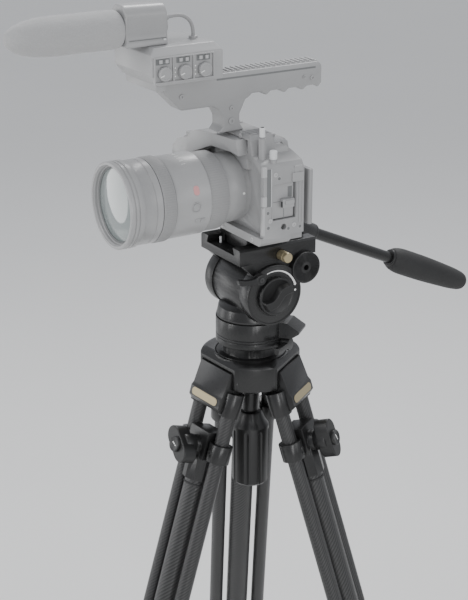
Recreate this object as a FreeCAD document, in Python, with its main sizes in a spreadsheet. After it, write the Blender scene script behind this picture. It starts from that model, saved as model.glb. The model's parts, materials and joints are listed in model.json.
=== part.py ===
"""Video camera rig on a fluid-head tripod, as separate pieces in one frame.

Frame: +Z is up and the floor is z = 0. The pan axis is the Z axis, the lens points to -Y
and the side with the drag dial is +X. Every length is in millimetres.
"""
import FreeCAD
import Part

import os
import re
from math import cos, pi, radians, sin

import Sketcher
from FreeCAD import Placement, Rotation, Vector

# --- driving dimensions ----------------------------------------------------------------------
SIZES = {
    # crown of the tripod, with the levelling bowl in its middle
    "crown_radius": 54, "crown_edge": 701, "crown_top": 705, "crown_low": 676, "crown_flat": 44,
    "crown_bevel": 6, "crown_chord": 699.7, "crown_facet": 35, "crown_roof": 696, "crown_turn": 4,
    "slot_half": 27.2, "slot_inner": 30, "bowl_centre": 701, "bowl_radius": 37.8, "bowl_wall": 2.7,
    "bowl_rim": 39.3, "stud_hole": 14, "hinge_radius": 39, "hinge_level": 684,
    "pin_radius": 2.5, "pin_half": 33, "slip": 0.05,
    # legs: lateral, inward and along-the-leg places, measured from the fold hinge
    "leg_tilt": 17.2, "ear_radius": 5.5, "ear_half": 27, "ear_inner": 19, "yoke_low": -38,
    "yoke_face": -14.7, "yoke_brow": -9.8, "yoke_crest": 9.5, "yoke_nape": -5.7,
    "socket_radius": 11.3, "socket_top": -12, "tube_side": 26, "tube_inset": 2.7,
    "tube_radius": 8, "tube_wall": 1.5, "tube_top": -16, "tube_low": -634, "guide_top": -610,
    "guide_low": -640, "guide_radius": 12, "guide_hub": 18, "sleeve_radius": 12.5, "sleeve_top": -70,
    "sleeve_low": -89.5, "collar_top": -61, "collar_low": -92, "collar_half": 16, "collar_front": -10,
    "collar_back": 14, "cuff_radius": 16.5, "cuff_low": -117, "boss_radius": 11, "boss_front": -16,
    "knob_level": -80, "centre_radius": 13, "centre_bore": 11, "centre_low": -676, "ankle_radius": 18,
    "ankle_top": -652, "ankle_low": -688, "shank_radius": 10.9, "shank_bore": 9.2, "shank_top": -300,
    "shank_low": -704, "foot_radius": 15, "foot_top": -690, "foot_low": -725,
    # lock knob of a leg, about its own axis
    "knob_hub": 12, "knob_depth": 21, "knob_wing": 22, "knob_wing_half": 8.5, "knob_cap": 8.5,
    "knob_cap_depth": 3, "knob_screw": 3, "knob_screw_depth": 10,
    # head base, tie-down and pan lock
    "ball_radius": 37.5, "ball_low": 672, "ball_top": 704.7, "neck_radius": 30, "base_radius": 37.7,
    "base_low": 716.3, "groove_low": 723.4, "groove_high": 726.4, "groove_depth": 0.7,
    "base_top": 744.5,
    "block_half": 13, "block_reach": 57, "block_top": 743, "block_low": 726, "block_angle": 40,
    "washer_radius": 22, "washer_gap": 0.3, "washer_low": 656, "sleeve_slim": 9.7, "sleeve_end": 634,
    "stud_radius": 5, "stud_low": 600, "handle_top": 632, "handle_shoulder": 622, "handle_low": 548,
    "handle_radius": 20, "flute_radius": 4.2, "flute_circle": 23, "flute_top": 610,
    "lock_level": 719, "lock_angle": 29, "lock_hub": 6.5, "lock_near": 38, "lock_far": 48,
    "lock_reach": 27, "lock_half": 3.2,
    # pan housing and tilting cradle
    "skirt_low": 745, "skirt_radius": 36.7, "skirt_lip": 747, "skirt_top": 757, "skirt_neck": 34.8,
    "skirt_roof": 762, "column_half": 24, "tilt_y": 1, "tilt_z": 779, "drum_radius": 32,
    "drum_half": 27.5, "pocket_radius": 33.4, "axle_radius": 8, "cheek_radius": 32.8,
    "cheek_inner": 27.8, "cheek_near": 44, "cheek_far": 42,
    "web_front": -22, "web_back": 31, "gusset_front": -35, "gusset_drop": 14,
    "rosette_y": 39, "rosette_z": 803, "rosette_radius": 17, "rosette_near": 46, "rosette_hole": 3,
    # platform, plate and the controls on the cradle
    "platform_low": 815.2, "platform_top": 832, "platform_half": 39, "platform_front": -38,
    "platform_back": 55, "platform_bevel": 2, "channel_floor": 824.3, "channel_half": 27.3,
    "channel_lip": 24.3, "plate_front": -22, "plate_back": 48, "plate_low": 824.6, "plate_top": 842,
    "plate_foot": 26.9, "plate_neck": 24, "plate_ledge": 832.6, "plate_half": 27,
    "button_y": 12, "button_z": 820, "button_radius": 5.5, "button_seat": 29, "button_in": 33,
    "button_out": 53, "dial_radius": 21, "dial_face": 50, "dial_grip": 56,
    "dial_grip_half": 5.5, "dial_grip_reach": 18, "lever_y": -19.5, "lever_z": 801.5, "lever_hub": 5.5,
    "lever_tip": -46, "lever_half": 3, "lever_inner": 46, "lever_outer": 51.5,
    # pan bar
    "bracket_outer": -58, "bracket_inner": -46.3, "bracket_end_y": 88, "bracket_end_z": 795,
    "bar_x": -52, "bar_start_y": 84, "bar_start_z": 815.4,
    "bar_droop": 24.4, "bar_socket": 10, "bar_socket_length": 30, "bar_radius": 6.5, "bar_length": 168,
    "grip_start": 153, "grip_end": 276, "grip_neck": 10, "grip_radius": 15, "grip_tail": 10.5,
    "bar_knob_radius": 14, "bar_knob_notch": 4, "bar_knob_end": -76,
    # cage and camera body
    "cage_half": 66, "cage_low": 842.3, "cage_floor": 851, "cage_front": -30, "cage_rear": 6,
    "cage_side": 59.5, "cage_face": -27, "cage_back": 21, "cage_shoulder": 919, "cage_top": 950,
    "cage_skin": 945.5, "cage_bend_x": 61, "cage_bend_z": 926, "cage_deck_x": 44, "cage_deck_z": 931,
    "cage_inner_z": 915.5, "cage_inner_x": 50.5, "cage_slope_z": 922.2, "cage_root_x": 36,
    "cage_root_z": 926.5, "strap_back": 0.5, "strap_far": -30, "strap_near": 40,
    "thread_y": -3, "thread_z": 860, "holder_radius": 3.8, "pin_slim": 2.3, "front_pin_x": 50,
    "front_pin_y": -19, "front_pin_top": 961, "front_holder_top": 950, "rear_pin_x": 58,
    "rear_pin_y": -11, "rear_pin_top": 938, "rear_holder_top": 929, "window_low": 868,
    "window_high": 905, "window_front": -16,
    "window_back": 11, "screw_radius": 3.2, "body_left": -58, "body_right": 59.2, "body_front": -22,
    "body_back": 24, "body_low": 851.3, "body_deck": 916, "hump_top": 945.2, "grip_front": -54,
    "body_shoulder": 914, "body_slope_x": 50, "body_slope_z": 921, "hump_foot_x": 34,
    "hump_foot_z": 925.5, "hump_near": 30, "hump_rear": 937.5, "hump_far": -30, "deck_far": 922,
    "brow_front": -26.4, "brow_low": 915, "brow_edge": 934, "brow_back": -20, "brow_far": -28,
    "under_near": -12, "under_mid": -28, "under_far": -40,
    "dome_low": 912, "dome_left": -69, "dome_front": -55, "dome_mid_y": -50, "dome_mid_x": -41,
    "dome_nose_y": -41, "dome_nose_x": -9, "dome_near_y": -36, "dome_near": 32,
    "grip_side": -65, "grip_root": -36, "mount_front": -28, "mount_ring": 34.5, "lens_z": 890,
    "screen_left": -12, "screen_low": 857, "screen_high": 915, "screen_y": 30, "screen_x": 62.5,
    "screen_half": 3, "shutter_x": -52, "shutter_y": -41, "shutter_radius": 5.5, "shutter_top": 938,
    "shutter_low": 930.5, "shutter_seat": 928.5,
    # lens, as radius and place along Y
    "lens_rear": -28.2, "lens_collar": 36, "zoom_back": -50, "zoom_front": -71.5, "lens_core": 34,
    "zoom_radius": 40.5, "barrel_radius": 42, "focus_back": -112, "focus_front": -126.5,
    "front_slim": 42.8, "front_step": -147,
    "focus_radius": 43.6, "lens_front": -163, "front_radius": 44, "glass_radius": 37,
    "glass_seat": -156, "glass_front": -160, "ring_gap": 0.3,
    # top handle, adapter and microphone
    "handle_half": 11, "rail_top": 1010, "grip_belly": 983, "nose_y": -110, "tail_y": 78,
    "post_front": -45, "post_back": -17, "post_neck": 4, "adapter_near": 30, "adapter_far": -46,
    "adapter_front": -131, "adapter_edge": 7, "adapter_back": -52, "adapter_top": 1046,
    "lip_low": 1003, "lip_back": -111.5, "lip_inset": 7, "gain_radius": 7, "gain_z": 1022,
    "gain_out": 35.5, "gain_first": -118, "gain_step": 22, "mic_z": 1063, "mic_radius": 9.8,
    "mic_front": -250, "mic_back": -100.7, "clamp_half": 15, "clamp_front": -149.7,
    "clamp_back": -104, "clamp_top": 1086, "foam_back": -150.3, "foam_radius": 19, "foam_tip": -268,
    "lead_radius": 1.8, "lead_start": -100.3, "lead_y": -68, "socket_out": 1049, "socket_wide": 4.5,
}
LEGS = {"front": 38, "right": 84, "left": 60}          # name and how far its knob is turned
GAIN_DIALS = ("front", "middle", "back")

doc = FreeCAD.newDocument("CameraRig")
sheet = doc.addObject("Spreadsheet::Sheet", "Sizes")
for row, (alias, number) in enumerate(SIZES.items(), start=1):
    sheet.set(f"A{row}", str(number))
    sheet.setAlias(f"A{row}", alias)
doc.recompute()

pieces = {}


# --- building helpers ------------------------------------------------------------------------
def linked(expression):
    """The expression with each alias written as a reference to the sheet."""
    return re.sub(r"[a-z][a-z_]*[a-z]", lambda word: "Sizes." + word.group(), str(expression))


def number(expression):
    """What a linked expression comes to now, as a plain number."""
    return float(sheet.evalExpression(linked(expression)))


def block(across, along, up):
    """A box between a low and a high place on each axis."""
    item = doc.addObject("Part::Box", "Block")
    spans = zip(("Length", "Width", "Height"), "xyz", (across, along, up))
    for size, letter, (low, high) in spans:
        item.setExpression(size, linked(f"({high}) - ({low})"))
        item.setExpression("Placement.Base." + letter, linked(low))
    return item


TURNS = {"x": Rotation(Vector(0, 1, 0), 90), "y": Rotation(Vector(1, 0, 0), -90), "z": Rotation()}


def rod(axis, radius, span, centre):
    """A cylinder along one axis, with its centre given on the other two axes in order."""
    item = doc.addObject("Part::Cylinder", "Rod")
    item.Placement = Placement(Vector(), TURNS[axis])
    item.setExpression("Radius", linked(radius))
    item.setExpression("Height", linked(f"({span[1]}) - ({span[0]})"))
    item.setExpression("Placement.Base." + axis, linked(span[0]))
    for letter, place in zip("xyz".replace(axis, ""), centre):
        item.setExpression("Placement.Base." + letter, linked(place))
    return item


def ball(radius, centre):
    item = doc.addObject("Part::Sphere", "Ball")
    item.setExpression("Radius", linked(radius))
    for letter, place in zip("xyz", centre):
        item.setExpression("Placement.Base." + letter, linked(place))
    return item


def fuse(*items):
    item = doc.addObject("Part::MultiFuse", "Union")
    item.Shapes = list(items)
    return item


def cut(base, *tools):
    item = doc.addObject("Part::Cut", "Cut")
    item.Base = base
    item.Tool = tools[0] if len(tools) == 1 else fuse(*tools)
    return item


def common(first, second):
    item = doc.addObject("Part::Common", "Overlap")
    item.Base = first
    item.Tool = second
    return item


def moved(item, placement):
    """The same shape at another place."""
    carrier = doc.addObject("Part::Compound", "Moved")
    carrier.Links = [item]
    carrier.Placement = placement
    return carrier


def draw(body, plane, outline, offset="0"):
    """A closed sketch of straight edges, each corner held at its two sheet expressions."""
    sketch = body.newObject("Sketcher::SketchObject", "Outline")
    origin = [part for part in body.Origin.OriginFeatures if part.Role == plane]
    sketch.AttachmentSupport = (origin[0], [""])
    sketch.MapMode = "FlatFace"
    sketch.setExpression("AttachmentOffset.Base.z", linked(offset))
    corners = [Vector(number(x), number(y), 0) for x, y in outline]
    for index, corner in enumerate(corners):
        sketch.addGeometry(Part.LineSegment(corner, corners[(index + 1) % len(corners)]), False)
    for index in range(len(corners)):
        following = (index + 1) % len(corners)
        sketch.addConstraint(Sketcher.Constraint("Coincident", index, 2, following, 1))
    for index, (corner, places) in enumerate(zip(corners, outline)):
        for kind, start, place in zip(("DistanceX", "DistanceY"), corner[:2], places):
            row = sketch.addConstraint(Sketcher.Constraint(kind, -1, 1, index, 1, start))
            sketch.setExpression(f"Constraints[{row}]", linked(place))
    return sketch


def lathe(outline, axis="z", centre=("0", "0", "0")):
    """A turned body from an outline of (radius, place along the axis)."""
    body = doc.addObject("PartDesign::Body", "Turned")
    sketch = draw(body, "XZ_Plane", outline)
    turning = body.newObject("PartDesign::Revolution", "Turning")
    turning.Profile = sketch
    turning.ReferenceAxis = (sketch, ["V_Axis"])
    turning.Angle = 360
    body.Placement = Placement(Vector(*[number(place) for place in centre]), TURNS[axis])
    return body


def prism(plane, outline, span):
    """A padded body: outline on the XY, XZ or YZ plane and a span on the third axis."""
    low, high = span
    body = doc.addObject("PartDesign::Body", "Padded")
    start = f"-({high})" if plane == "XZ_Plane" else low
    sketch = draw(body, plane, outline, start)
    pad = body.newObject("PartDesign::Pad", "Pad")
    pad.Profile = sketch
    pad.setExpression("Length", linked(f"({high}) - ({low})"))
    return body


def keep(label, item, placement=None):
    """Name a finished piece and, where it is drawn about its own origin, put it in place."""
    if placement is not None:
        item.Placement = placement
    item.Label = label
    pieces[label] = item


def spin(angle):
    return Placement(Vector(), Rotation(Vector(0, 0, 1), angle))


def mirror_pair(make):
    return [make(side) for side in ("-", "")]


def leg_turn(index):
    return spin(120 * index + number("crown_turn"))


# --- tripod crown ----------------------------------------------------------------------------
def build_crown():
    disc = lathe([
        ("0", "crown_low"), ("crown_radius", "crown_low"), ("crown_radius", "crown_edge"),
        ("crown_radius - 1", "crown_edge + 2"), ("crown_radius - 3.2", "crown_top - 0.5"),
        ("crown_radius - crown_bevel", "crown_top"), ("0", "crown_top")])
    shell = common(
        ball("bowl_radius + bowl_wall", ("0", "0", "bowl_centre")),
        block(("-crown_radius", "crown_radius"), ("-crown_radius", "crown_radius"),
              ("bowl_centre - bowl_radius - bowl_wall - 1", "crown_top - 1")))
    slot = block(("-slot_half", "slot_half"), ("-crown_radius - 5", "-slot_inner"),
                 ("crown_low - 5", "crown_roof"))
    flat = block(("-crown_radius", "crown_radius"), ("-crown_radius - 5", "-crown_flat"),
                 ("crown_low - 5", "crown_top + 5"))
    facet = prism("YZ_Plane", [
        ("-crown_radius - 5", "crown_low"), ("-crown_flat", "crown_chord"),
        ("-crown_facet", "crown_top"), ("-crown_facet", "crown_top + 5"),
        ("-crown_radius - 5", "crown_top + 5")], ("-crown_radius", "crown_radius"))
    pin = rod("x", "pin_radius", ("-pin_half", "pin_half"), ("-hinge_radius", "hinge_level"))
    around = [leg_turn(index) for index in range(len(LEGS))]
    tools = (slot, flat, facet)
    open_disc = cut(disc, *[moved(tool, turn) for turn in around for tool in tools])
    rim = lathe([("0", "bowl_centre"), ("bowl_radius + 0.2", "bowl_centre"),
                 ("bowl_radius + 0.2", "crown_top - 1"), ("bowl_rim", "crown_top + 1"),
                 ("0", "crown_top + 1")])
    hollow = cut(fuse(open_disc, shell), ball("bowl_radius", ("0", "0", "bowl_centre")), rim,
                 rod("z", "stud_hole", ("crown_low - 30", "crown_top"), ("0", "0")))
    keep("crown", fuse(hollow, *[moved(pin, turn) for turn in around]))


# --- one leg, drawn about its fold hinge with Z up along the leg -------------------------------
def build_yoke(name, frame):
    barrels = [
        rod("x", "ear_radius", ("ear_inner", "ear_half"), ("0", "0")),
        rod("x", "ear_radius", ("-ear_half", "-ear_inner"), ("0", "0"))]
    shoulder = prism("YZ_Plane", [
        ("yoke_brow", "yoke_crest - 1.5"), ("yoke_face + 2.2", "-17"), ("yoke_face", "-21"),
        ("yoke_face", "-31"), ("yoke_face + 5", "-36"), ("9", "-36"), ("9", "-17"), ("3", "-11"),
        ("-1.5", "-4"), ("-1.5", "1"), ("yoke_nape", "yoke_crest")], ("-ear_half", "ear_half"))
    sockets = mirror_pair(lambda side: rod(
        "z", "socket_radius", ("yoke_low", "socket_top"), (f"{side}tube_side", "tube_inset")))
    bores = mirror_pair(lambda side: rod(
        "z", "tube_radius", ("yoke_low - 1", "tube_top"), (f"{side}tube_side", "tube_inset")))
    pin_hole = rod("x", "pin_radius + slip", ("-ear_half - 1", "ear_half + 1"), ("0", "0"))
    keep("yoke_" + name, cut(fuse(*barrels, shoulder, *sockets), *bores, pin_hole), frame)


def build_outer_tubes(name, frame):
    walls = mirror_pair(lambda side: rod(
        "z", "tube_radius", ("tube_low", "tube_top"), (f"{side}tube_side", "tube_inset")))
    bores = mirror_pair(lambda side: rod(
        "z", "tube_radius - tube_wall", ("tube_low - 1", "tube_top + 1"),
        (f"{side}tube_side", "tube_inset")))
    keep("outer_tubes_" + name, cut(fuse(*walls), *bores), frame)


def build_guide_block(name, frame):
    ends = mirror_pair(lambda side: rod(
        "z", "guide_radius", ("guide_low", "guide_top"), (f"{side}tube_side", "tube_inset")))
    hub = rod("z", "guide_hub", ("guide_low", "guide_top"), ("0", "tube_inset"))
    bridge = block(("-tube_side", "tube_side"), ("tube_inset - 10", "tube_inset + 10"),
                   ("guide_low", "guide_top"))
    bores = mirror_pair(lambda side: rod(
        "z", "tube_radius", ("tube_low", "guide_top + 1"), (f"{side}tube_side", "tube_inset")))
    guide = rod("z", "centre_radius + slip", ("guide_low - 1", "guide_top + 1"), ("0", "tube_inset"))
    keep("guide_block_" + name, cut(fuse(*ends, hub, bridge), *bores, guide), frame)


def build_collar(name, frame):
    sleeves = mirror_pair(lambda side: rod(
        "z", "sleeve_radius", ("sleeve_low", "sleeve_top"), (f"{side}tube_side", "tube_inset")))
    heart = block(("-collar_half", "collar_half"), ("collar_front", "collar_back"),
                  ("collar_low", "collar_top"))
    facets = [(f"cuff_radius * {cos(radians(angle)):.4f}",
               f"tube_inset + cuff_radius * {sin(radians(angle)):.4f}")
              for angle in range(18, 378, 36)]
    cuff = prism("XY_Plane", facets, ("cuff_low", "collar_low + 6"))
    boss = rod("y", "boss_radius", ("boss_front", "0"), ("0", "knob_level"))
    bores = mirror_pair(lambda side: rod(
        "z", "tube_radius + slip", ("sleeve_low - 1", "collar_top + 1"),
        (f"{side}tube_side", "tube_inset")))
    seat = rod("z", "centre_radius", ("cuff_low - 1", "collar_low"), ("0", "tube_inset"))
    screw = rod("y", "knob_screw + slip", ("boss_front - 1", "boss_front + knob_screw_depth"),
                ("0", "knob_level"))
    keep("collar_" + name, cut(fuse(*sleeves, heart, cuff, boss), *bores, seat, screw), frame)


def build_centre_tube(name, frame):
    wall = rod("z", "centre_radius", ("centre_low", "collar_low"), ("0", "tube_inset"))
    bore = rod("z", "centre_bore", ("centre_low - 1", "collar_low + 1"), ("0", "tube_inset"))
    keep("centre_tube_" + name, cut(wall, bore), frame)


def build_ankle_clamp(name, frame):
    ring = rod("z", "ankle_radius", ("ankle_low", "ankle_top"), ("0", "tube_inset"))
    lug = block(("-8", "8"), ("tube_inset - ankle_radius - 7", "tube_inset"),
                ("ankle_low + 8", "ankle_top - 5"))
    seat = rod("z", "centre_radius", ("centre_low", "ankle_top + 1"), ("0", "tube_inset"))
    throat = rod("z", "shank_radius + slip", ("ankle_low - 1", "centre_low + 1"),
                 ("0", "tube_inset"))
    keep("ankle_clamp_" + name, cut(fuse(ring, lug), seat, throat), frame)


def build_lower_tube(name, frame):
    wall = rod("z", "shank_radius", ("shank_low", "shank_top"), ("0", "tube_inset"))
    bore = rod("z", "shank_bore", ("shank_low - 1", "shank_top + 1"), ("0", "tube_inset"))
    keep("lower_tube_" + name, cut(wall, bore), frame)


def build_foot(name, frame):
    rubber = rod("z", "foot_radius", ("foot_low", "foot_top"), ("0", "tube_inset"))
    seat = rod("z", "shank_radius", ("shank_low", "foot_top + 1"), ("0", "tube_inset"))
    below_floor = block(("-400", "400"), ("-400", "400"), ("-60", "0"))
    keep("foot_" + name, cut(rubber, seat, moved(below_floor, frame.inverse())), frame)


def build_lock_knob(name, frame, turn):
    hub = rod("y", "knob_hub", ("-knob_depth", "0"), ("0", "0"))
    wing = block(("-knob_wing", "knob_wing"), ("-knob_depth", "-4"),
                 ("-knob_wing_half", "knob_wing_half"))
    cap = rod("y", "knob_cap", ("-knob_depth - knob_cap_depth", "-knob_depth"), ("0", "0"))
    screw = rod("y", "knob_screw", ("0", "knob_screw_depth - 1"), ("0", "0"))
    axis = Vector(0, number("boss_front - 0.2"), number("knob_level"))
    local = Placement(axis, Rotation(Vector(0, 1, 0), turn))
    keep("lock_knob_" + name, fuse(hub, wing, cap, screw), frame.multiply(local))


def build_leg(index, name, knob_turn):
    hinge = Vector(0, -number("hinge_radius"), number("hinge_level"))
    lean = Placement(hinge, Rotation(Vector(1, 0, 0), -number("leg_tilt")))
    frame = leg_turn(index).multiply(lean)
    for build in (build_yoke, build_outer_tubes, build_guide_block, build_collar,
                  build_centre_tube, build_ankle_clamp, build_lower_tube, build_foot):
        build(name, frame)
    build_lock_knob(name, frame, knob_turn)


# --- levelling ball, tie-down and pan lock -----------------------------------------------------
def build_head_base():
    half_ball = common(
        ball("ball_radius", ("0", "0", "bowl_centre")),
        block(("-ball_radius - 2", "ball_radius + 2"), ("-ball_radius - 2", "ball_radius + 2"),
              ("ball_low", "ball_top")))
    outline = [("0", "ball_top - 1"), ("neck_radius", "ball_top - 1"), ("neck_radius", "base_low"),
               ("base_radius - 0.8", "base_low"), ("base_radius", "base_low + 0.8")]
    for groove in ("groove_low", "groove_high"):
        outline += [("base_radius", f"{groove} - 0.5"), ("base_radius - groove_depth", groove),
                    ("base_radius", f"{groove} + 0.5")]
    base = lathe(outline + [("base_radius", "base_top"), ("0", "base_top")])
    housing = prism("XZ_Plane", [
        ("30", "block_top"), ("block_reach - 13", "block_top"), ("block_reach", "block_top - 8"),
        ("block_reach", "block_top - 11"), ("block_reach - 9", "block_low"), ("30", "block_low")],
        ("-block_half", "block_half"))
    stud_seat = rod("z", "stud_radius", ("ball_low - 1", "ball_low + 12"), ("0", "0"))
    turned_housing = moved(housing, spin(number("block_angle")))
    keep("head_base", cut(fuse(half_ball, base, turned_housing), stud_seat))


def build_tie_stud():
    cup = cut(lathe([
        ("0", "sleeve_end"), ("sleeve_slim", "sleeve_end"), ("sleeve_slim", "washer_low"),
        ("washer_radius - 4", "washer_low + 3"), ("washer_radius", "washer_low + 7"),
        ("washer_radius", "ball_low - 4"), ("0", "ball_low - 4")]),
        ball("bowl_radius + bowl_wall + washer_gap", ("0", "0", "bowl_centre")))
    stud = rod("z", "stud_radius", ("stud_low", "ball_low + 12"), ("0", "0"))
    keep("tie_stud", fuse(cup, stud))


def build_tie_handle():
    grip = lathe([
        ("0", "handle_low"), ("handle_radius - 3", "handle_low"), ("handle_radius", "handle_low + 3"),
        ("handle_radius", "handle_shoulder - 6"), ("handle_radius - 4", "handle_shoulder"),
        ("sleeve_slim + 2", "handle_top"), ("0", "handle_top")])
    flutes = []
    for index in range(8):
        flute = rod("z", "flute_radius", ("handle_low - 1", "flute_top"), ("flute_circle", "0"))
        crest = ball("flute_radius", ("flute_circle", "0", "flute_top"))
        flutes += [moved(item, spin(45 * index)) for item in (flute, crest)]
    bore = rod("z", "stud_radius + slip", ("stud_low - 2", "handle_top + 1"), ("0", "0"))
    keep("tie_handle", cut(grip, bore, *flutes))


def build_pan_lock():
    hub = rod("x", "lock_hub", ("lock_near", "lock_far"), ("0", "0"))
    lever = block(("lock_far - 5", "lock_far"), ("-lock_reach", "0"), ("-lock_half", "lock_half"))
    place = spin(number("lock_angle")).multiply(Placement(Vector(0, 0, number("lock_level")),
                                                          Rotation()))
    keep("pan_lock", fuse(hub, lever), place)


# --- pan housing and tilting cradle ------------------------------------------------------------
def build_pan_housing():
    skirt = lathe([
        ("0", "skirt_low"), ("skirt_radius", "skirt_low"), ("skirt_radius", "skirt_lip"),
        ("skirt_neck", "skirt_top"), ("skirt_neck - 5", "skirt_roof"), ("0", "skirt_roof")])
    column = block(("-column_half", "column_half"), ("-column_half", "column_half"),
                   ("skirt_roof - 2", "tilt_z"))
    drum = rod("x", "drum_radius", ("-drum_half", "drum_half"), ("tilt_y", "tilt_z"))
    pockets = [
        rod("x", "pocket_radius", ("drum_half", "drum_half + 30"), ("tilt_y", "tilt_z")),
        rod("x", "pocket_radius", ("-drum_half - 30", "-drum_half"), ("tilt_y", "tilt_z"))]
    bore = rod("x", "axle_radius + slip", ("-drum_half - 1", "drum_half + 1"), ("tilt_y", "tilt_z"))
    keep("pan_housing", cut(fuse(skirt, column, drum), *pockets, bore))


def build_tilt_cradle():
    cheeks = [
        rod("x", "cheek_radius", ("cheek_inner", "cheek_near"), ("tilt_y", "tilt_z")),
        rod("x", "cheek_radius", ("-cheek_far", "-cheek_inner"), ("tilt_y", "tilt_z"))]
    axle = rod("x", "axle_radius", ("-cheek_far", "cheek_near"), ("tilt_y", "tilt_z"))
    webs = [
        block(("cheek_inner", "platform_half"), ("web_front", "web_back"), ("tilt_z", "platform_low")),
        block(("-platform_half", "-cheek_inner"), ("web_front", "web_back"),
              ("tilt_z", "platform_low"))]
    lugs = []
    for low, high in (("cheek_inner + 3", "rosette_near"), ("-rosette_near", "-cheek_inner - 3")):
        lugs.append(rod("x", "rosette_radius", (low, high), ("rosette_y", "rosette_z")))
    bosses = [
        block(("cheek_inner + 3", "platform_half"), ("web_back - 2", "rosette_y + 12"),
              ("rosette_z", "platform_low")),
        block(("-platform_half", "-cheek_inner - 3"), ("web_back - 2", "rosette_y + 12"),
              ("rosette_z", "platform_low"))]
    near_hole = rod("x", "rosette_hole", ("rosette_near - 12", "rosette_near + 1"),
                    ("rosette_y", "rosette_z"))
    far_hole = rod("x", "rosette_hole + slip", ("-rosette_near - 1", "-rosette_near + 12"),
                   ("rosette_y", "rosette_z"))
    gussets = [prism("YZ_Plane", [
        ("gusset_front", "platform_low"), ("web_front + 1", "platform_low"),
        ("web_front + 1", "platform_low - gusset_drop")], span)
        for span in (("cheek_inner", "platform_half"), ("-platform_half", "-cheek_inner"))]
    under_platform = block(("-platform_half - slip", "platform_half + slip"), ("-60", "60"),
                           ("platform_low", "platform_low + 20"))
    button_way = rod("x", "button_radius + slip", ("button_seat", "button_out"),
                     ("button_y", "button_z"))
    body = fuse(*cheeks, axle, *webs, *lugs, *bosses, *gussets)
    keep("tilt_cradle", cut(body, near_hole, far_hole, under_platform, button_way))


def build_platform():
    rails = prism("XZ_Plane", [
        ("-platform_half", "platform_low"), ("platform_half", "platform_low"),
        ("platform_half", "platform_top - platform_bevel"),
        ("platform_half - platform_bevel", "platform_top"), ("channel_lip", "platform_top"),
        ("channel_half", "channel_floor"), ("-channel_half", "channel_floor"),
        ("-channel_lip", "platform_top"), ("-platform_half + platform_bevel", "platform_top"),
        ("-platform_half", "platform_top - platform_bevel")], ("platform_front", "platform_back"))
    seat = rod("x", "button_radius + slip", ("button_seat", "platform_half + 1"),
               ("button_y", "button_z"))
    keep("platform", cut(rails, seat))


def build_quick_plate():
    plate = prism("XZ_Plane", [
        ("-plate_foot", "plate_low"), ("plate_foot", "plate_low"), ("plate_neck", "plate_ledge - 0.6"),
        ("plate_half", "plate_ledge"), ("plate_half", "plate_top"), ("-plate_half", "plate_top"),
        ("-plate_half", "plate_ledge"), ("-plate_neck", "plate_ledge - 0.6")],
        ("plate_front", "plate_back"))
    keep("quick_plate", plate)


def build_head_controls():
    keep("safety_button", rod("x", "button_radius", ("button_in", "button_out"),
                              ("button_y", "button_z")))
    grip = block(("dial_face - 1", "dial_grip"), ("-dial_grip_reach", "dial_grip_reach"),
                 ("-dial_grip_half", "dial_grip_half"))
    disc = rod("x", "dial_radius", ("cheek_near + 0.2", "dial_face"), ("0", "0"))
    dial_place = Placement(Vector(0, number("tilt_y"), number("tilt_z")),
                           Rotation(Vector(1, 0, 0), 32))
    keep("drag_dial", fuse(disc, grip), dial_place)
    hub = rod("x", "lever_hub", ("cheek_near + 0.2", "lever_outer"), ("lever_y", "lever_z"))
    arm = block(("lever_inner", "lever_outer"), ("lever_tip", "lever_y"),
                ("lever_z - lever_half", "lever_z + lever_half"))
    keep("tilt_lock", fuse(hub, arm))


# --- pan bar ---------------------------------------------------------------------------------
def build_pan_bar():
    along = Placement(
        Vector(number("bar_x"), number("bar_start_y"), number("bar_start_z")),
        Rotation(Vector(1, 0, 0), -90 - number("bar_droop")))
    disc = rod("x", "rosette_radius", ("bracket_outer", "bracket_inner"), ("rosette_y", "rosette_z"))
    arm = prism("YZ_Plane", [
        ("rosette_y", "rosette_z - 15"), ("rosette_y + 14", "rosette_z - 12"),
        ("bracket_end_y", "bracket_end_z"),
        ("98", "800"), ("92", "818"), ("76", "821"), ("rosette_y + 8", "rosette_z + 14"),
        ("rosette_y", "rosette_z + 15")], ("bracket_outer", "bracket_inner"))
    socket = moved(rod("z", "bar_socket", ("-6", "bar_socket_length"), ("0", "0")), along)
    seat = moved(rod("z", "bar_radius", ("0", "bar_socket_length + 1"), ("0", "0")), along)
    screw = rod("x", "rosette_hole + slip", ("bracket_outer - 1", "bracket_inner + 1"),
                ("rosette_y", "rosette_z"))
    keep("bar_bracket", cut(fuse(disc, arm, socket), seat, screw))
    keep("pan_bar", moved(rod("z", "bar_radius", ("0", "bar_length"), ("0", "0")), along))
    sleeve = lathe([
        ("0", "grip_start"), ("grip_neck", "grip_start"), ("grip_radius - 1.5", "grip_start + 6"),
        ("grip_radius", "grip_start + 14"), ("grip_radius", "grip_start + 50"),
        ("grip_tail + 2.5", "grip_end - 25"), ("grip_tail", "grip_end - 8"),
        ("grip_tail - 4", "grip_end - 1.5"), ("0", "grip_end")])
    bore = rod("z", "bar_radius", ("grip_start - 1", "bar_length"), ("0", "0"))
    keep("bar_grip", cut(sleeve, bore), along)
    hand = rod("x", "bar_knob_radius", ("bar_knob_end", "bracket_outer - 0.3"), ("0", "0"))
    notches = []
    for index in range(6):
        notch = rod("x", "bar_knob_notch", ("bar_knob_end - 1", "bracket_outer - 4"),
                    ("bar_knob_radius + 1.5", "0"))
        turn = Placement(Vector(), Rotation(Vector(1, 0, 0), 60 * index))
        notches.append(moved(notch, turn))
    thread = rod("x", "rosette_hole", ("bracket_outer - 1", "-rosette_near + 10"), ("0", "0"))
    knob_place = Placement(Vector(0, number("rosette_y"), number("rosette_z")), Rotation())
    keep("bar_knob", fuse(cut(hand, *notches), thread), knob_place)


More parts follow.
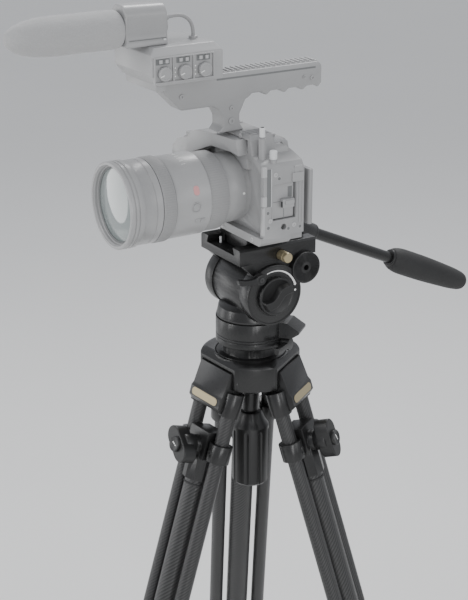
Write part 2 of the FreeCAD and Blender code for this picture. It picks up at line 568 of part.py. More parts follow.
# --- camera, cage and lens -----------------------------------------------------------------------
def build_cage():
    floor = prism("XZ_Plane", [
        ("-cage_half + 4", "cage_low"), ("cage_half - 4", "cage_low"), ("cage_half", "cage_low + 4"),
        ("cage_half", "cage_floor"), ("-cage_half", "cage_floor"), ("-cage_half", "cage_low + 4")],
        ("cage_front", "cage_rear"))
    shelf = block(("-50", "cage_half - 3"), ("cage_rear", "cage_back"),
                  ("cage_low + 2", "cage_floor"))
    plate = prism("XZ_Plane", [
        ("cage_half", "cage_floor"), ("cage_half", "cage_shoulder"), ("cage_bend_x", "cage_bend_z"),
        ("cage_deck_x", "cage_deck_z"), ("cage_root_x - 2", "cage_deck_z + 2"),
        ("cage_root_x - 1.5", "cage_root_z"), ("cage_inner_x", "cage_slope_z"),
        ("cage_side", "cage_inner_z"), ("cage_side", "cage_floor")], ("cage_face", "cage_back"))
    strap = prism("XZ_Plane", [
        ("cage_deck_x", "cage_deck_z - 1"), ("strap_near", "cage_top - 4"),
        ("strap_near - 4", "cage_top"), ("strap_far", "cage_top"), ("strap_far", "cage_skin"),
        ("cage_root_x - 1", "cage_skin"), ("cage_root_x", "cage_deck_z - 1")],
        ("cage_face", "strap_back"))
    chamfer = prism("YZ_Plane", [
        ("cage_face - 1", "cage_top - 4"), ("cage_face + 3.5", "cage_top + 1"),
        ("cage_face - 1", "cage_top + 1")], ("strap_far - 1", "strap_near + 1"))
    pins = []
    for end in ("front", "rear"):
        place = (f"{end}_pin_x", f"{end}_pin_y")
        pins += [rod("z", "holder_radius", ("cage_bend_z - 2", f"{end}_holder_top"), place),
                 rod("z", "pin_slim", ("cage_bend_z - 2", f"{end}_pin_top"), place)]
    window = block(("cage_side - 1", "cage_half + 1"), ("window_front", "window_back"),
                   ("window_low", "window_high"))
    thread = rod("x", "screw_radius", ("cage_side - 1", "cage_half + 1"),
                 ("thread_y", "thread_z"))
    keep("cage", cut(fuse(floor, shelf, plate, strap, *pins), window, thread, chamfer))


def build_camera_body():
    shell = prism("XZ_Plane", [
        ("body_left", "body_low"), ("body_right", "body_low"), ("body_right", "body_shoulder"),
        ("body_slope_x", "body_slope_z"), ("hump_foot_x", "hump_foot_z"), ("hump_near", "hump_rear"),
        ("hump_far", "hump_rear"), ("hump_far - 14", "deck_far + 8"), ("body_left", "deck_far")],
        ("body_front", "body_back"))
    dome = common(
        prism("XZ_Plane", [
            ("dome_left", "dome_low"), ("dome_left + 1", "dome_low + 10"),
            ("dome_left + 9", "dome_low + 19"), ("dome_left + 25", "dome_low + 24"),
            ("hump_far - 8", "hump_top - 2.2"), ("hump_far", "hump_top"),
            ("hump_near - 2", "hump_top"), ("dome_near", "dome_low + 18"),
            ("dome_near - 12", "dome_low + 20"), ("under_near", "dome_low + 20"),
            ("under_mid", "dome_low + 13"), ("under_far", "dome_low + 8")],
            ("dome_front", "strap_back")),
        prism("XY_Plane", [
            ("dome_left", "dome_front"), ("dome_mid_x", "dome_mid_y"),
            ("dome_nose_x", "dome_nose_y"), ("dome_near", "dome_near_y"),
            ("dome_near", "strap_back"), ("dome_left", "strap_back")],
            ("dome_low - 5", "hump_top + 5")))
    grip = prism("XY_Plane", [
        ("grip_root", "body_front + 1"), ("grip_root - 5", "grip_front + 8"),
        ("grip_root - 12", "grip_front"),
        ("-58", "grip_front + 2"), ("grip_side", "grip_front + 13"), ("grip_side", "12"),
        ("body_left - 1", "body_back"), ("body_left + 1", "body_back")],
        ("body_low + 1", "body_deck"))
    brow = prism("YZ_Plane", [
        ("brow_front", "brow_low"), ("brow_front", "brow_edge"),
        ("brow_front + 3", "brow_edge + 5"), ("brow_back", "hump_top - 0.3"),
        ("brow_back", "brow_low")], ("brow_far", "cage_root_x - 2"))
    ring = rod("y", "mount_ring", ("mount_front", "body_front + 1"), ("0", "lens_z"))
    seat = rod("z", "shutter_radius + slip", ("shutter_seat", "hump_top"),
               ("shutter_x", "shutter_y"))
    keep("camera_body", cut(fuse(shell, dome, brow, grip, ring), seat))
    keep("shutter_button", rod("z", "shutter_radius", ("shutter_low", "shutter_top"),
                               ("shutter_x", "shutter_y")))
    panel = block(("screen_left", "screen_x"), ("screen_y - screen_half", "screen_y + screen_half"),
                  ("screen_low", "screen_high"))
    pivot = rod("z", "screen_half", ("screen_low", "screen_high"), ("screen_x", "screen_y"))
    keep("screen", fuse(panel, pivot))


def build_lens():
    centre = ("0", "0", "lens_z")
    keep("lens_barrel", lathe([
        ("0", "lens_rear"), ("lens_collar", "lens_rear"), ("lens_collar", "zoom_back"),
        ("lens_core", "zoom_back"), ("lens_core", "zoom_front"), ("barrel_radius", "zoom_front"),
        ("barrel_radius", "focus_back"), ("lens_core", "focus_back"), ("lens_core", "focus_front"),
        ("front_slim", "focus_front"), ("front_slim", "front_step + 1"),
        ("front_radius", "front_step"), ("front_radius", "lens_front + 2"),
        ("front_radius - 2", "lens_front"), ("glass_radius + 2", "lens_front"),
        ("glass_radius", "glass_seat"), ("0", "glass_seat")], "y", centre))
    rings = (("zoom_ring", "zoom_radius", "zoom_back", "zoom_front"),
             ("focus_ring", "focus_radius", "focus_back", "focus_front"))
    for label, radius, back, front in rings:
        keep(label, lathe([
            ("lens_core + slip", f"{back} - ring_gap"), (radius, f"{back} - ring_gap"),
            (radius, f"{front} + ring_gap"), ("lens_core + slip", f"{front} + ring_gap")],
            "y", centre))
    keep("front_glass", lathe([
        ("0", "glass_seat"), ("glass_radius", "glass_seat"), ("glass_radius", "glass_seat - 0.8"),
        ("glass_radius * 0.7", "glass_front + 1"), ("0", "glass_front")], "y", centre))


# --- top handle, adapter and microphone -----------------------------------------------------------
def build_top_handle():
    outline = [
        ("nose_y", "rail_top"), ("nose_y + 2", "rail_top - 12"), ("nose_y + 22", "grip_belly - 5"),
        ("post_front - 8", "grip_belly - 5"), ("post_front - 1", "grip_belly - 9"),
        ("post_front + post_neck", "grip_belly - 18"), ("post_front + post_neck", "cage_top + 6"),
        ("post_front - 1", "cage_top"), ("post_back + 1", "cage_top"),
        ("post_back - post_neck", "cage_top + 8"), ("post_back - post_neck", "grip_belly - 16"),
        ("post_back + 3", "grip_belly - 2")]
    for index in range(4):
        place = f"post_back + {6 + 22 * index}"
        outline += [(place, "grip_belly - 1"), (f"{place} + 5", "grip_belly + 3"),
                    (f"{place} + 15", "grip_belly + 3")]
    outline += [("tail_y - 4", "grip_belly"), ("tail_y", "grip_belly + 5"),
                ("tail_y", "rail_top - 4"), ("tail_y - 4", "rail_top")]
    keep("top_handle", prism("YZ_Plane", outline, ("-handle_half", "handle_half")))


def build_adapter():
    shell = prism("YZ_Plane", [
        ("adapter_front + 8", "rail_top"), ("adapter_back", "rail_top"),
        ("adapter_back", "adapter_top - 8"), ("adapter_back - 6", "adapter_top"),
        ("adapter_front + 6", "adapter_top"), ("adapter_front", "adapter_top - 6"),
        ("adapter_front", "rail_top + 10")], ("adapter_far", "adapter_near"))
    profile = prism("XZ_Plane", [
        ("adapter_far", "lip_low"), ("adapter_near", "lip_low"),
        ("adapter_near", "adapter_top - adapter_edge"), ("adapter_near - adapter_edge", "adapter_top"),
        ("adapter_far + adapter_edge", "adapter_top"), ("adapter_far", "adapter_top - adapter_edge")],
        ("adapter_front - 1", "adapter_back + 1"))
    lip = block(("adapter_far + lip_inset", "adapter_near - lip_inset"),
                ("adapter_front + 8", "lip_back"), ("lip_low", "rail_top + 1"))
    socket = rod("z", "socket_wide", ("adapter_top - 1", "socket_out"), ("0", "lead_y"))
    keep("adapter", fuse(common(shell, profile), lip, socket))
    for index, name in enumerate(GAIN_DIALS):
        keep("gain_dial_" + name, rod(
            "x", "gain_radius", ("adapter_near + 0.2", "gain_out"),
            (f"gain_first + gain_step * {index}", "gain_z")))


def build_microphone():
    keep("mic_clamp", cut(
        prism("XZ_Plane", [
            ("-clamp_half", "adapter_top"), ("clamp_half", "adapter_top"),
            ("clamp_half", "mic_z + 12"), ("8", "clamp_top"), ("-8", "clamp_top"),
            ("-clamp_half", "mic_z + 12")], ("clamp_front", "clamp_back")),
        rod("y", "mic_radius", ("clamp_front - 1", "clamp_back + 1"), ("0", "mic_z"))))
    keep("mic_body", rod("y", "mic_radius", ("mic_front", "mic_back"), ("0", "mic_z")))
    keep("mic_foam", lathe([
        ("mic_radius", "foam_back"), ("foam_radius - 2", "foam_back"),
        ("foam_radius", "foam_back - 4"), ("foam_radius", "foam_tip + 45"),
        ("foam_radius - 1.5", "foam_tip + 24"), ("foam_radius - 5.5", "foam_tip + 9"),
        ("foam_radius - 12", "foam_tip + 1.5"), ("0", "foam_tip"), ("0", "mic_front - 0.2"),
        ("mic_radius", "mic_front - 0.2")], "y", ("0", "0", "mic_z")))


def rounded_route(points, share=0.45):
    """Straight runs joined by tangent arcs, each as large as its two runs allow."""
    edges = []
    start = points[0]
    for before, corner, after in zip(points, points[1:], points[2:]):
        incoming = (corner - before).normalize()
        outgoing = (after - corner).normalize()
        setback = share * min((corner - before).Length, (after - corner).Length)
        entry = corner - incoming * setback
        leave = corner + outgoing * setback
        half_turn = incoming.getAngle(outgoing) / 2
        inward = (outgoing - incoming).normalize()
        middle = corner + inward * (setback * (1 - cos(half_turn)) / sin(half_turn))
        radius = setback * cos(half_turn) / sin(half_turn)
        print(f"lead bend radius {radius:.1f} mm")
        edges.append(Part.LineSegment(start, entry).toShape())
        edges.append(Part.Arc(entry, middle, leave).toShape())
        start = leave
    edges.append(Part.LineSegment(start, points[-1]).toShape())
    return Part.Wire(edges)


def build_mic_lead():
    """The lead's whole route, from the microphone's tail over and down into the adapter."""
    route = [Vector(0, number("lead_start"), number("mic_z") + 5.6), Vector(0, -86, 1071.5),
             Vector(0, -74, 1067), Vector(0, number("lead_y"), 1058),
             Vector(0, number("lead_y"), number("socket_out"))]
    radius = number("lead_radius")
    path = rounded_route(route)
    circle = Part.Circle(route[0], route[1] - route[0], radius).toShape()
    tube = path.makePipeShell([Part.Wire([circle])], True, False)
    expected = path.Length * pi * radius ** 2
    print(f"lead length {path.Length:.1f} mm, volume {tube.Volume:.1f} of {expected:.1f} mm3")
    item = doc.addObject("Part::Feature", "Lead")
    item.Shape = tube
    keep("mic_lead", item)


# --- the whole rig ---------------------------------------------------------------------------
build_crown()
for leg_index, (leg_name, knob_angle) in enumerate(LEGS.items()):
    build_leg(leg_index, leg_name, knob_angle)
build_head_base()
build_tie_stud()
build_tie_handle()
build_pan_lock()
build_pan_housing()
build_tilt_cradle()
build_platform()
build_quick_plate()
build_head_controls()
build_pan_bar()
build_cage()
build_camera_body()
build_lens()
build_top_handle()
build_adapter()
build_microphone()
build_mic_lead()

doc.recompute()
for item in doc.Objects:
    if "Invalid" in item.State or "Error" in item.State:
        raise RuntimeError(f"{item.Name} ({item.Label}) failed: {item.State}")
os.makedirs("parts", exist_ok=True)
for label, item in pieces.items():
    if item.Shape.isNull() or not item.Shape.isValid():
        raise RuntimeError(f"{label} has no valid shape")
    item.Shape.exportStep(f"parts/{label}.step")
print(len(pieces), "pieces written")
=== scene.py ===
"""Looks for the video camera rig on its tripod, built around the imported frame. Sizes in mm."""

import json
from math import atan2, cos, pi, radians, sin

import bmesh
import bpy
from mathutils import Matrix, Vector, noise


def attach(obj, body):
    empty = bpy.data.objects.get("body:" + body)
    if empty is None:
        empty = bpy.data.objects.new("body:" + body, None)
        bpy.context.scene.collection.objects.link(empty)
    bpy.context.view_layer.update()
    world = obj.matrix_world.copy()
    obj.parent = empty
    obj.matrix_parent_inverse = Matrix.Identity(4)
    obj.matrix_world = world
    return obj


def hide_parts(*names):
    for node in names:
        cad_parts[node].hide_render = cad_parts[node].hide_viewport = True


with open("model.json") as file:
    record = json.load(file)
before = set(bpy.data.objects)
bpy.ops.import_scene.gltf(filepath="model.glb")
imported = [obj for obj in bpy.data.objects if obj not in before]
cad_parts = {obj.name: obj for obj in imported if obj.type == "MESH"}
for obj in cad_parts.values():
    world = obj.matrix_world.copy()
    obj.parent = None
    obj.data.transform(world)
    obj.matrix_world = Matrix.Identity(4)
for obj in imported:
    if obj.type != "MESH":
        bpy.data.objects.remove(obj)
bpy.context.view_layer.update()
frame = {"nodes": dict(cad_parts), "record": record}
NODES = frame["nodes"]
SLOT_OF = {row["node"]: row["material_slot"] for row in frame["record"]["subparts"]}
BODY_OF = {node: body for body, members in frame["record"]["behaviour"]["bodies"].items()
           for node in members}
MM = 0.001


# --- view ------------------------------------------------------------------------------------
VIEW_PLACE = (1.3092, -0.8235, 1.3351)                  # metres
VIEW_AZIMUTH, VIEW_PITCH = 58.5, 20.4                   # degrees
SENSOR = 36                                             # across the taller side of the frame
FOCAL_TO_FRAME = 1553 / 600                             # focal length over the frame's height


def place_camera():
    data = bpy.data.cameras.new("view")
    data.sensor_width = SENSOR
    data.lens = FOCAL_TO_FRAME * SENSOR
    camera = bpy.data.objects.new("view", data)
    camera.location = VIEW_PLACE
    camera.rotation_euler = (radians(90) - radians(VIEW_PITCH), 0, radians(VIEW_AZIMUTH))
    bpy.context.scene.collection.objects.link(camera)
    bpy.context.scene.camera = camera


# --- materials -------------------------------------------------------------------------------
class Nodes:
    """A short way to write a procedural material."""

    def __init__(self, name):
        self.material = bpy.data.materials.new(name)
        self.material.use_nodes = True
        self.tree = self.material.node_tree
        self.shader = self.tree.nodes["Principled BSDF"]

    def add(self, kind, inputs=None, **settings):
        node = self.tree.nodes.new("ShaderNode" + kind)
        for key, value in settings.items():
            setattr(node, key, value)
        for key, value in (inputs or {}).items():
            self.put(node.inputs[key], value)
        return node

    def put(self, socket, value):
        if isinstance(value, bpy.types.NodeSocket):
            self.tree.links.new(value, socket)
        else:
            socket.default_value = value

    def math(self, operation, first, second=0.0):
        return self.add("Math", {0: first, 1: second}, operation=operation).outputs[0]

    def mix(self, factor, first, second):
        node = self.add("Mix", {0: factor, 6: first, 7: second}, data_type="RGBA")
        return node.outputs[2]

    def ramp(self, value, low, high, start=0.0, end=1.0):
        """The value stretched from low..high to start..end."""
        return self.add("MapRange", {"Value": value, "From Min": low, "From Max": high,
                                     "To Min": start, "To Max": end}).outputs["Result"]

    def place(self):
        return self.add("TexCoord").outputs["Object"]

    def noise(self, scale, detail=3.0, place=None):
        return self.add("TexNoise", {"Vector": place or self.place(), "Scale": scale,
                                     "Detail": detail, "Roughness": 0.55}).outputs["Fac"]

    def bump(self, height, strength, distance):
        node = self.add("Bump", {"Height": height, "Strength": strength, "Distance": distance})
        self.put(self.shader.inputs["Normal"], node.outputs["Normal"])

    def edges(self):
        """1 along convex edges, 0 on flat faces."""
        return self.ramp(self.add("NewGeometry").outputs["Pointiness"], 0.52, 0.62)

    def finish(self, **sockets):
        for key, value in sockets.items():
            self.put(self.shader.inputs[key.replace("_", " ")], value)
        return self.material


def grey(level):
    return (level, level, level, 1)


def grained(name, level, rough, grain=900.0, depth=0.00006, worn=1.6, spread=0.12,
            metallic=0.0):
    """A cast, moulded or anodised surface: fine grain, uneven tone and paler edges."""
    nodes = Nodes(name)
    fine = nodes.noise(grain, 2.0)
    tone = nodes.mix(nodes.ramp(nodes.noise(14.0), 0.35, 0.65),
                     grey(level * (1 - spread)), grey(level * (1 + spread)))
    colour = nodes.mix(nodes.math("MULTIPLY", nodes.edges(), 0.6), tone, grey(level * worn))
    nodes.bump(fine, 0.35, depth)
    return nodes.finish(Base_Color=colour, Metallic=metallic,
                        Roughness=nodes.ramp(fine, 0.3, 0.7, rough - 0.06, rough + 0.08))


def brushed(name, colour, rough):
    nodes = Nodes(name)
    stretch = nodes.add("Mapping", {"Vector": nodes.place(), "Scale": (1, 1, 40)})
    lines = nodes.noise(60.0, 4.0, stretch.outputs[0])
    tone = nodes.mix(lines, tuple(part * 0.85 for part in colour) + (1,),
                     tuple(min(1, part * 1.12) for part in colour) + (1,))
    nodes.bump(lines, 0.2, 0.00004)
    return nodes.finish(Base_Color=tone, Roughness=rough, Metallic=0.6)


def carbon(name, cell, dark, pale):
    """Fibre woven at a slant, under lacquer, on the tube's own UV map in metres, with painted sheen
    on the yarns.
    """
    nodes = Nodes(name)
    place = nodes.add("SeparateXYZ", {0: nodes.add("TexCoord").outputs["UV"]})
    around, along = place.outputs[0], place.outputs[1]
    first = nodes.math("DIVIDE", around, cell)
    second = nodes.math("DIVIDE", along, cell)
    count = nodes.math("SUBTRACT", nodes.math("FLOOR", first), nodes.math("FLOOR", second))
    over = nodes.math("LESS_THAN", nodes.math("FLOORED_MODULO", count, 4.0), 1.5)
    first_yarn = nodes.math("PINGPONG", first, 0.5)
    second_yarn = nodes.math("PINGPONG", second, 0.5)
    crown = nodes.add("Mix", {0: over, 2: first_yarn, 3: second_yarn}, data_type="FLOAT").outputs[0]
    # painted sheen: each yarn paler along its crown, and the yarns running one way paler than the
    # other
    yarn_sheen = nodes.ramp(crown, 0.0, 0.5, 0.25, 1.0)
    light = nodes.math("MULTIPLY", yarn_sheen, nodes.ramp(over, 0.0, 1.0, 0.25, 1.0))
    nodes.bump(crown, 0.6, 0.0004)
    return nodes.finish(Base_Color=nodes.mix(light, grey(dark), grey(pale)), Roughness=0.38,
                        Coat_Weight=0.15, Coat_Roughness=0.25)


def foam(name, level):
    nodes = Nodes(name)
    cells = nodes.add("TexVoronoi", {"Vector": nodes.place(), "Scale": 900.0})
    fine = nodes.math("MULTIPLY", nodes.noise(1500.0, 2.0), 0.6)
    height = nodes.math("ADD", cells.outputs["Distance"], fine)
    # painted shade: the pores darker than the ridges between them
    colour = nodes.mix(nodes.ramp(height, 0.2, 1.1), grey(level * 0.92), grey(level * 1.05))
    nodes.bump(height, 0.4, 0.0003)
    return nodes.finish(Base_Color=colour, Roughness=0.95, Sheen_Weight=0.2)


def tinted_glass(name, low, high):
    nodes = Nodes(name)
    colour = nodes.mix(nodes.ramp(nodes.noise(16.0, 1.0), 0.4, 0.6), low, high)
    return nodes.finish(Base_Color=colour, Roughness=0.06, Coat_Weight=1.0, Coat_Roughness=0.03,
                        Specular_IOR_Level=0.9)


def leather(name, level):
    """A pebbled moulded grip, with painted shade: the hollows between the pebbles darker."""
    nodes = Nodes(name)
    cells = nodes.add("TexVoronoi", {"Vector": nodes.place(), "Scale": 900.0})
    pebble = cells.outputs["Distance"]
    # painted shade: the colour darkens towards the hollows between pebbles
    colour = nodes.mix(nodes.ramp(pebble, 0.1, 0.7), grey(level * 1.1), grey(level * 0.7))
    nodes.bump(nodes.math("SUBTRACT", 1.0, pebble), 0.5, 0.0002)
    return nodes.finish(Base_Color=colour, Roughness=0.62)


def painted(name, colour, rough=0.5):
    nodes = Nodes(name)
    speck = nodes.math("MULTIPLY", nodes.noise(2200.0, 1.0), 0.3)
    tone = nodes.mix(speck, tuple(colour) + (1,), tuple(part * 0.75 for part in colour) + (1,))
    return nodes.finish(Base_Color=tone, Roughness=rough)


FINISH = {
    "black_casting": grained("black_casting", 0.010, 0.31, grain=1400, worn=2.6),
    "black_plastic": grained("black_plastic", 0.011, 0.38, grain=1000, worn=2.2),
    "black_rubber": grained("black_rubber", 0.019, 0.70, grain=700, depth=0.0001, worn=1.5),
    "carbon_tube": carbon("carbon_tube", 0.00115, 0.004, 0.055),
    "champagne_metal": brushed("champagne_metal", (0.42, 0.355, 0.22), 0.34),
    "pale_alloy": grained("pale_alloy", 0.30, 0.42, grain=1600, worn=1.3, spread=0.05),
    "pale_plastic": grained("pale_plastic", 0.32, 0.32, grain=1100, worn=1.3, spread=0.06),
    "pale_rubber": grained("pale_rubber", 0.265, 0.58, grain=800, worn=1.3, spread=0.06),
    "lens_glass": tinted_glass("lens_glass", (0.20, 0.235, 0.23, 1), (0.28, 0.31, 0.305, 1)),
    "pale_foam": foam("pale_foam", 0.37),
    "screen_back": grained("screen_back", 0.28, 0.38, grain=1000, worn=1.3, spread=0.05),
    "lead_jacket": grained("lead_jacket", 0.31, 0.55, grain=900, worn=1.1),
}
FINE_CARBON = carbon("fine_carbon", 0.0010, 0.005, 0.050)
GRAIN_LEATHER = leather("grained_grip", 0.27)
WHITE = painted("white_paint", (0.86, 0.86, 0.84))
PALE_RED = painted("pale_red", (0.62, 0.30, 0.30))
# painted shade: a near-black colour for holes and gaps, namely the eyepiece, the clamp's slit and
# the socket depths
RECESS_SHADE = painted("painted_recess_shade", (0.012, 0.012, 0.013))
SHADE = painted("shaded_alloy", (0.16, 0.165, 0.165))
# bright metal for the pins and edge lines; on the mic clamp it is a painted glint
BRIGHT = painted("bright_metal_and_glint", (0.66, 0.67, 0.67), 0.3)
BRIGHT_ALLOY = grained("bright_alloy", 0.42, 0.36, grain=1600, worn=1.2, spread=0.05)
BLACKENED = grained("blackened_steel", 0.05, 0.33, grain=2000, metallic=0.5)


# --- mesh helpers ----------------------------------------------------------------------------
def lathe(profile, steps=96, ripple=None, closed=True):
    """A turned shape about local Z from (radius, along) points; ripple(step, point) adds radius."""
    shape = bmesh.new()
    rings = []
    for index, (radius, along) in enumerate(profile):
        ring = []
        for step in range(steps):
            reach = radius + (ripple(step, index) if ripple else 0)
            turn = 2 * pi * step / steps
            ring.append(shape.verts.new(Vector((reach * cos(turn), reach * sin(turn), along)) * MM))
        rings.append(ring)
    pairs = list(zip(rings, rings[1:])) + ([(rings[-1], rings[0])] if closed else [])
    for low, high in pairs:
        for step in range(steps):
            after = (step + 1) % steps
            shape.faces.new((low[step], low[after], high[after], high[step]))
    bmesh.ops.remove_doubles(shape, verts=shape.verts, dist=1e-7)
    bmesh.ops.recalc_face_normals(shape, faces=shape.faces)
    return shape


AXES = {"x": ((0, 1, 0), (0, 0, 1), (1, 0, 0)), "y": ((1, 0, 0), (0, 0, 1), (0, 1, 0)),
        "z": ((1, 0, 0), (0, 1, 0), (0, 0, 1))}


def prism(outline, low, high, axis="z"):
    """A flat outline pushed from low to high along an axis."""
    across, up, along = (Vector(part) for part in AXES[axis])
    shape = bmesh.new()
    ends = []
    for level in (low, high):
        ends.append([shape.verts.new((across * a + up * b + along * level) * MM)
                     for a, b in outline])
    count = len(outline)
    for index in range(count):
        after = (index + 1) % count
        shape.faces.new((ends[0][index], ends[0][after], ends[1][after], ends[1][index]))
    shape.faces.new(ends[0])
    shape.faces.new(ends[1])
    bmesh.ops.recalc_face_normals(shape, faces=shape.faces)
    return shape


def block(low, high):
    (x0, y0, z0), (x1, y1, z1) = low, high
    return prism([(x0, y0), (x1, y0), (x1, y1), (x0, y1)], z0, z1)


def rounded(width, height, radius, centre=(0, 0), steps=8):
    """The outline of a rectangle with round corners."""
    points = []
    for quarter, (sx, sy) in enumerate(((1, 1), (-1, 1), (-1, -1), (1, -1))):
        for step in range(steps + 1):
            turn = pi / 2 * (quarter + step / steps)
            points.append((centre[0] + sx * (width / 2 - radius) + radius * cos(turn),
                           centre[1] + sy * (height / 2 - radius) + radius * sin(turn)))
    return points


def disc(radius, low, high, chamfer=0.4, steps=40):
    """A short round bar along local Z with chamfered ends."""
    return lathe([(0, low), (radius - chamfer, low), (radius, low + chamfer),
                  (radius, high - chamfer), (radius - chamfer, high), (0, high)], steps,
                 closed=False)


def join(*shapes):
    whole = bmesh.new()
    for shape in shapes:
        mesh = bpy.data.meshes.new("part")
        shape.to_mesh(mesh)
        whole.from_mesh(mesh)
        shape.free()
        bpy.data.meshes.remove(mesh)
    return whole


def placed(shape, matrix):
    """The shape moved by a matrix whose shift is in mm."""
    scaled = matrix.copy()
    scaled.translation = scaled.translation * MM
    shape.transform(scaled)
    bmesh.ops.recalc_face_normals(shape, faces=shape.faces)
    return shape


def at(x, y, z):
    return Matrix.Translation((x, y, z))


def turned(degrees, axis):
    return Matrix.Rotation(radians(degrees), 4, axis)


ALONG_X = turned(90, "Y")
ALONG_Y = turned(-90, "X")
FORWARD = turned(90, "X")


def piece(name, shape, body, slot, material=None, stands_for=(), bevel=0.0, sharp=35, segments=2):
    """A visible piece from a bmesh, riding on a body, with softened edges."""
    mesh = bpy.data.meshes.new(name)
    shape.to_mesh(mesh)
    shape.free()
    item = bpy.data.objects.new(name, mesh)
    bpy.context.scene.collection.objects.link(item)
    mesh.materials.append(material or FINISH[slot])
    for face in mesh.polygons:
        face.use_smooth = True
    if bevel:
        soft = item.modifiers.new("soft edges", "BEVEL")
        soft.width = bevel * MM
        soft.segments = segments
        soft.limit_method = "ANGLE"
        soft.angle_limit = radians(sharp)
        soft.harden_normals = True
        bpy.context.view_layer.objects.active = item
        item.select_set(True)
        bpy.ops.object.modifier_apply(modifier="soft edges")
        item.select_set(False)
    else:
        mesh.set_sharp_from_angle(angle=radians(sharp))
    if stands_for:
        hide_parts(*stands_for)
    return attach(item, body)


def cut_out(shape, tool):
    """The first shape less the second."""
    objects = []
    for name, part in (("whole", shape), ("tool", tool)):
        mesh = bpy.data.meshes.new(name)
        part.to_mesh(mesh)
        part.free()
        objects.append(bpy.data.objects.new(name, mesh))
        bpy.context.scene.collection.objects.link(objects[-1])
    cutter = objects[0].modifiers.new("cut", "BOOLEAN")
    cutter.operation = "DIFFERENCE"
    cutter.solver = "EXACT"
    cutter.object = objects[1]
    evaluated = objects[0].evaluated_get(bpy.context.evaluated_depsgraph_get())
    result = bpy.data.meshes.new_from_object(evaluated)
    left = bmesh.new()
    left.from_mesh(result)
    bpy.data.meshes.remove(result)
    for item in objects:
        mesh = item.data
        bpy.data.objects.remove(item)
        bpy.data.meshes.remove(mesh)
    return left


def softened(node, bevel, sharp=28, less=None):
    """A CAD node's own shape with clean flat faces and rounded edges."""
    shape = bmesh.new()
    shape.from_mesh(NODES[node].data)
    bmesh.ops.remove_doubles(shape, verts=shape.verts, dist=1e-6)
    bmesh.ops.dissolve_limit(shape, angle_limit=radians(1), verts=shape.verts, edges=shape.edges)
    if less:
        shape = cut_out(shape, less)
    return piece("soft_" + node, shape, BODY_OF[node], SLOT_OF[node], stands_for=(node,),
                 bevel=bevel, sharp=sharp)


# --- tripod ----------------------------------------------------------------------------------
LEGS = {"front": 38, "right": 84, "left": 60}           # name, and how far its knob is turned
HINGE = at(0, -39, 684)
LEAN = turned(-17.2, "X")
CROWN_TURN = 4                                          # degrees from the lens axis
TUBE_SIDE, TUBE_INSET = 26, 2.7
OUTER_TUBE = (8, 6.5, -634, -16)                        # radius, bore, lower end, upper end
INNER_TUBES = (("centre_tube_", 13, 11, -676, -92), ("lower_tube_", 10.9, 9.2, -704, -300))
LABEL_LEVEL, LABEL_BACK = -25.6, -14.4
KNOB_FACE, KNOB_LEVEL = -16.2, -80


def wrapped(shape, radius):
    """UVs for a shape about local Z: distance round it and along it, in metres."""
    layer = shape.loops.layers.uv.verify()
    for face in shape.faces:
        centre = face.calc_center_median()
        middle = atan2(centre.y, centre.x)
        for loop in face.loops:
            turn = atan2(loop.vert.co.y, loop.vert.co.x)
            turn += 2 * pi * round((middle - turn) / (2 * pi))
            loop[layer].uv = (turn * radius * MM, loop.vert.co.z)
    return shape


def pipe(radius, bore, low, high):
    return wrapped(lathe([(radius, low + 0.4), (radius, high - 0.4), (radius - 0.4, high),
                          (bore, high), (bore, low), (radius - 0.4, low)], 64), radius)


def knob_outline(reach, waist, steps=56):
    """Two rounded lobes on a round hub."""
    points = []
    for step in range(steps):
        turn = 2 * pi * step / steps
        distance = waist + (reach - waist) * abs(cos(turn)) ** 3.2
        points.append((distance * cos(turn), distance * sin(turn)))
    return points


def build_knob(name, local):
    """Lock knob about local Y, its cap outward along -Y."""
    wing = prism(knob_outline(22, 10.2), -20.6, -4.4, "y")
    hub = placed(disc(11.8, -0.3, 14, 0.8), FORWARD)
    cap = placed(lathe([(0, 20), (8.4, 20), (8.4, 23), (7.6, 23.9), (6.6, 23.5), (0, 23.1)], 48,
                       closed=False), FORWARD)
    body, knob = "knob_" + name, "lock_knob_" + name
    piece("wing_" + name, placed(join(wing, hub), local), body, "black_plastic",
          stands_for=(knob,), bevel=1.3, sharp=50, segments=3)
    piece("wing_cap_" + name, placed(cap, local), body, "black_plastic", bevel=0.2)
    mark = join(prism([(-3.2, -0.8), (1.2, 0.2), (1.2, 1.4), (-3.2, 0.4)], -23.45, -23.1, "y"),
                prism([(2.0, 0.4), (3.4, 0.7), (3.4, 1.9), (2.0, 1.6)], -23.45, -23.1, "y"))
    piece("wing_mark_" + name, placed(mark, local), body, "black_plastic", WHITE)


def socket_screw(radius, depth):
    """A screw head along local Z, with a hexagon socket."""
    socket = [(radius * 0.5 * cos(pi / 3 * k), radius * 0.5 * sin(pi / 3 * k)) for k in range(6)]
    rim = [(radius * cos(pi / 12 * k), radius * sin(pi / 12 * k)) for k in range(24)]
    shape = bmesh.new()
    outer = [shape.verts.new(Vector((x, y, depth)) * MM) for x, y in rim]
    base = [shape.verts.new(Vector((x * 1.05, y * 1.05, 0)) * MM) for x, y in rim]
    inner = [shape.verts.new(Vector((x, y, depth)) * MM) for x, y in socket]
    floor = [shape.verts.new(Vector((x, y, depth * 0.3)) * MM) for x, y in socket]
    for k in range(24):
        after = (k + 1) % 24
        shape.faces.new((base[k], base[after], outer[after], outer[k]))
        if k % 4 == 3:
            shape.faces.new((outer[k], outer[after], inner[(k + 1) // 4 % 6], inner[k // 4]))
        else:
            shape.faces.new((outer[k], outer[after], inner[k // 4]))
    for k in range(6):
        after = (k + 1) % 6
        shape.faces.new((inner[k], inner[after], floor[after], floor[k]))
    shape.faces.new(floor)
    bmesh.ops.recalc_face_normals(shape, faces=shape.faces)
    return shape


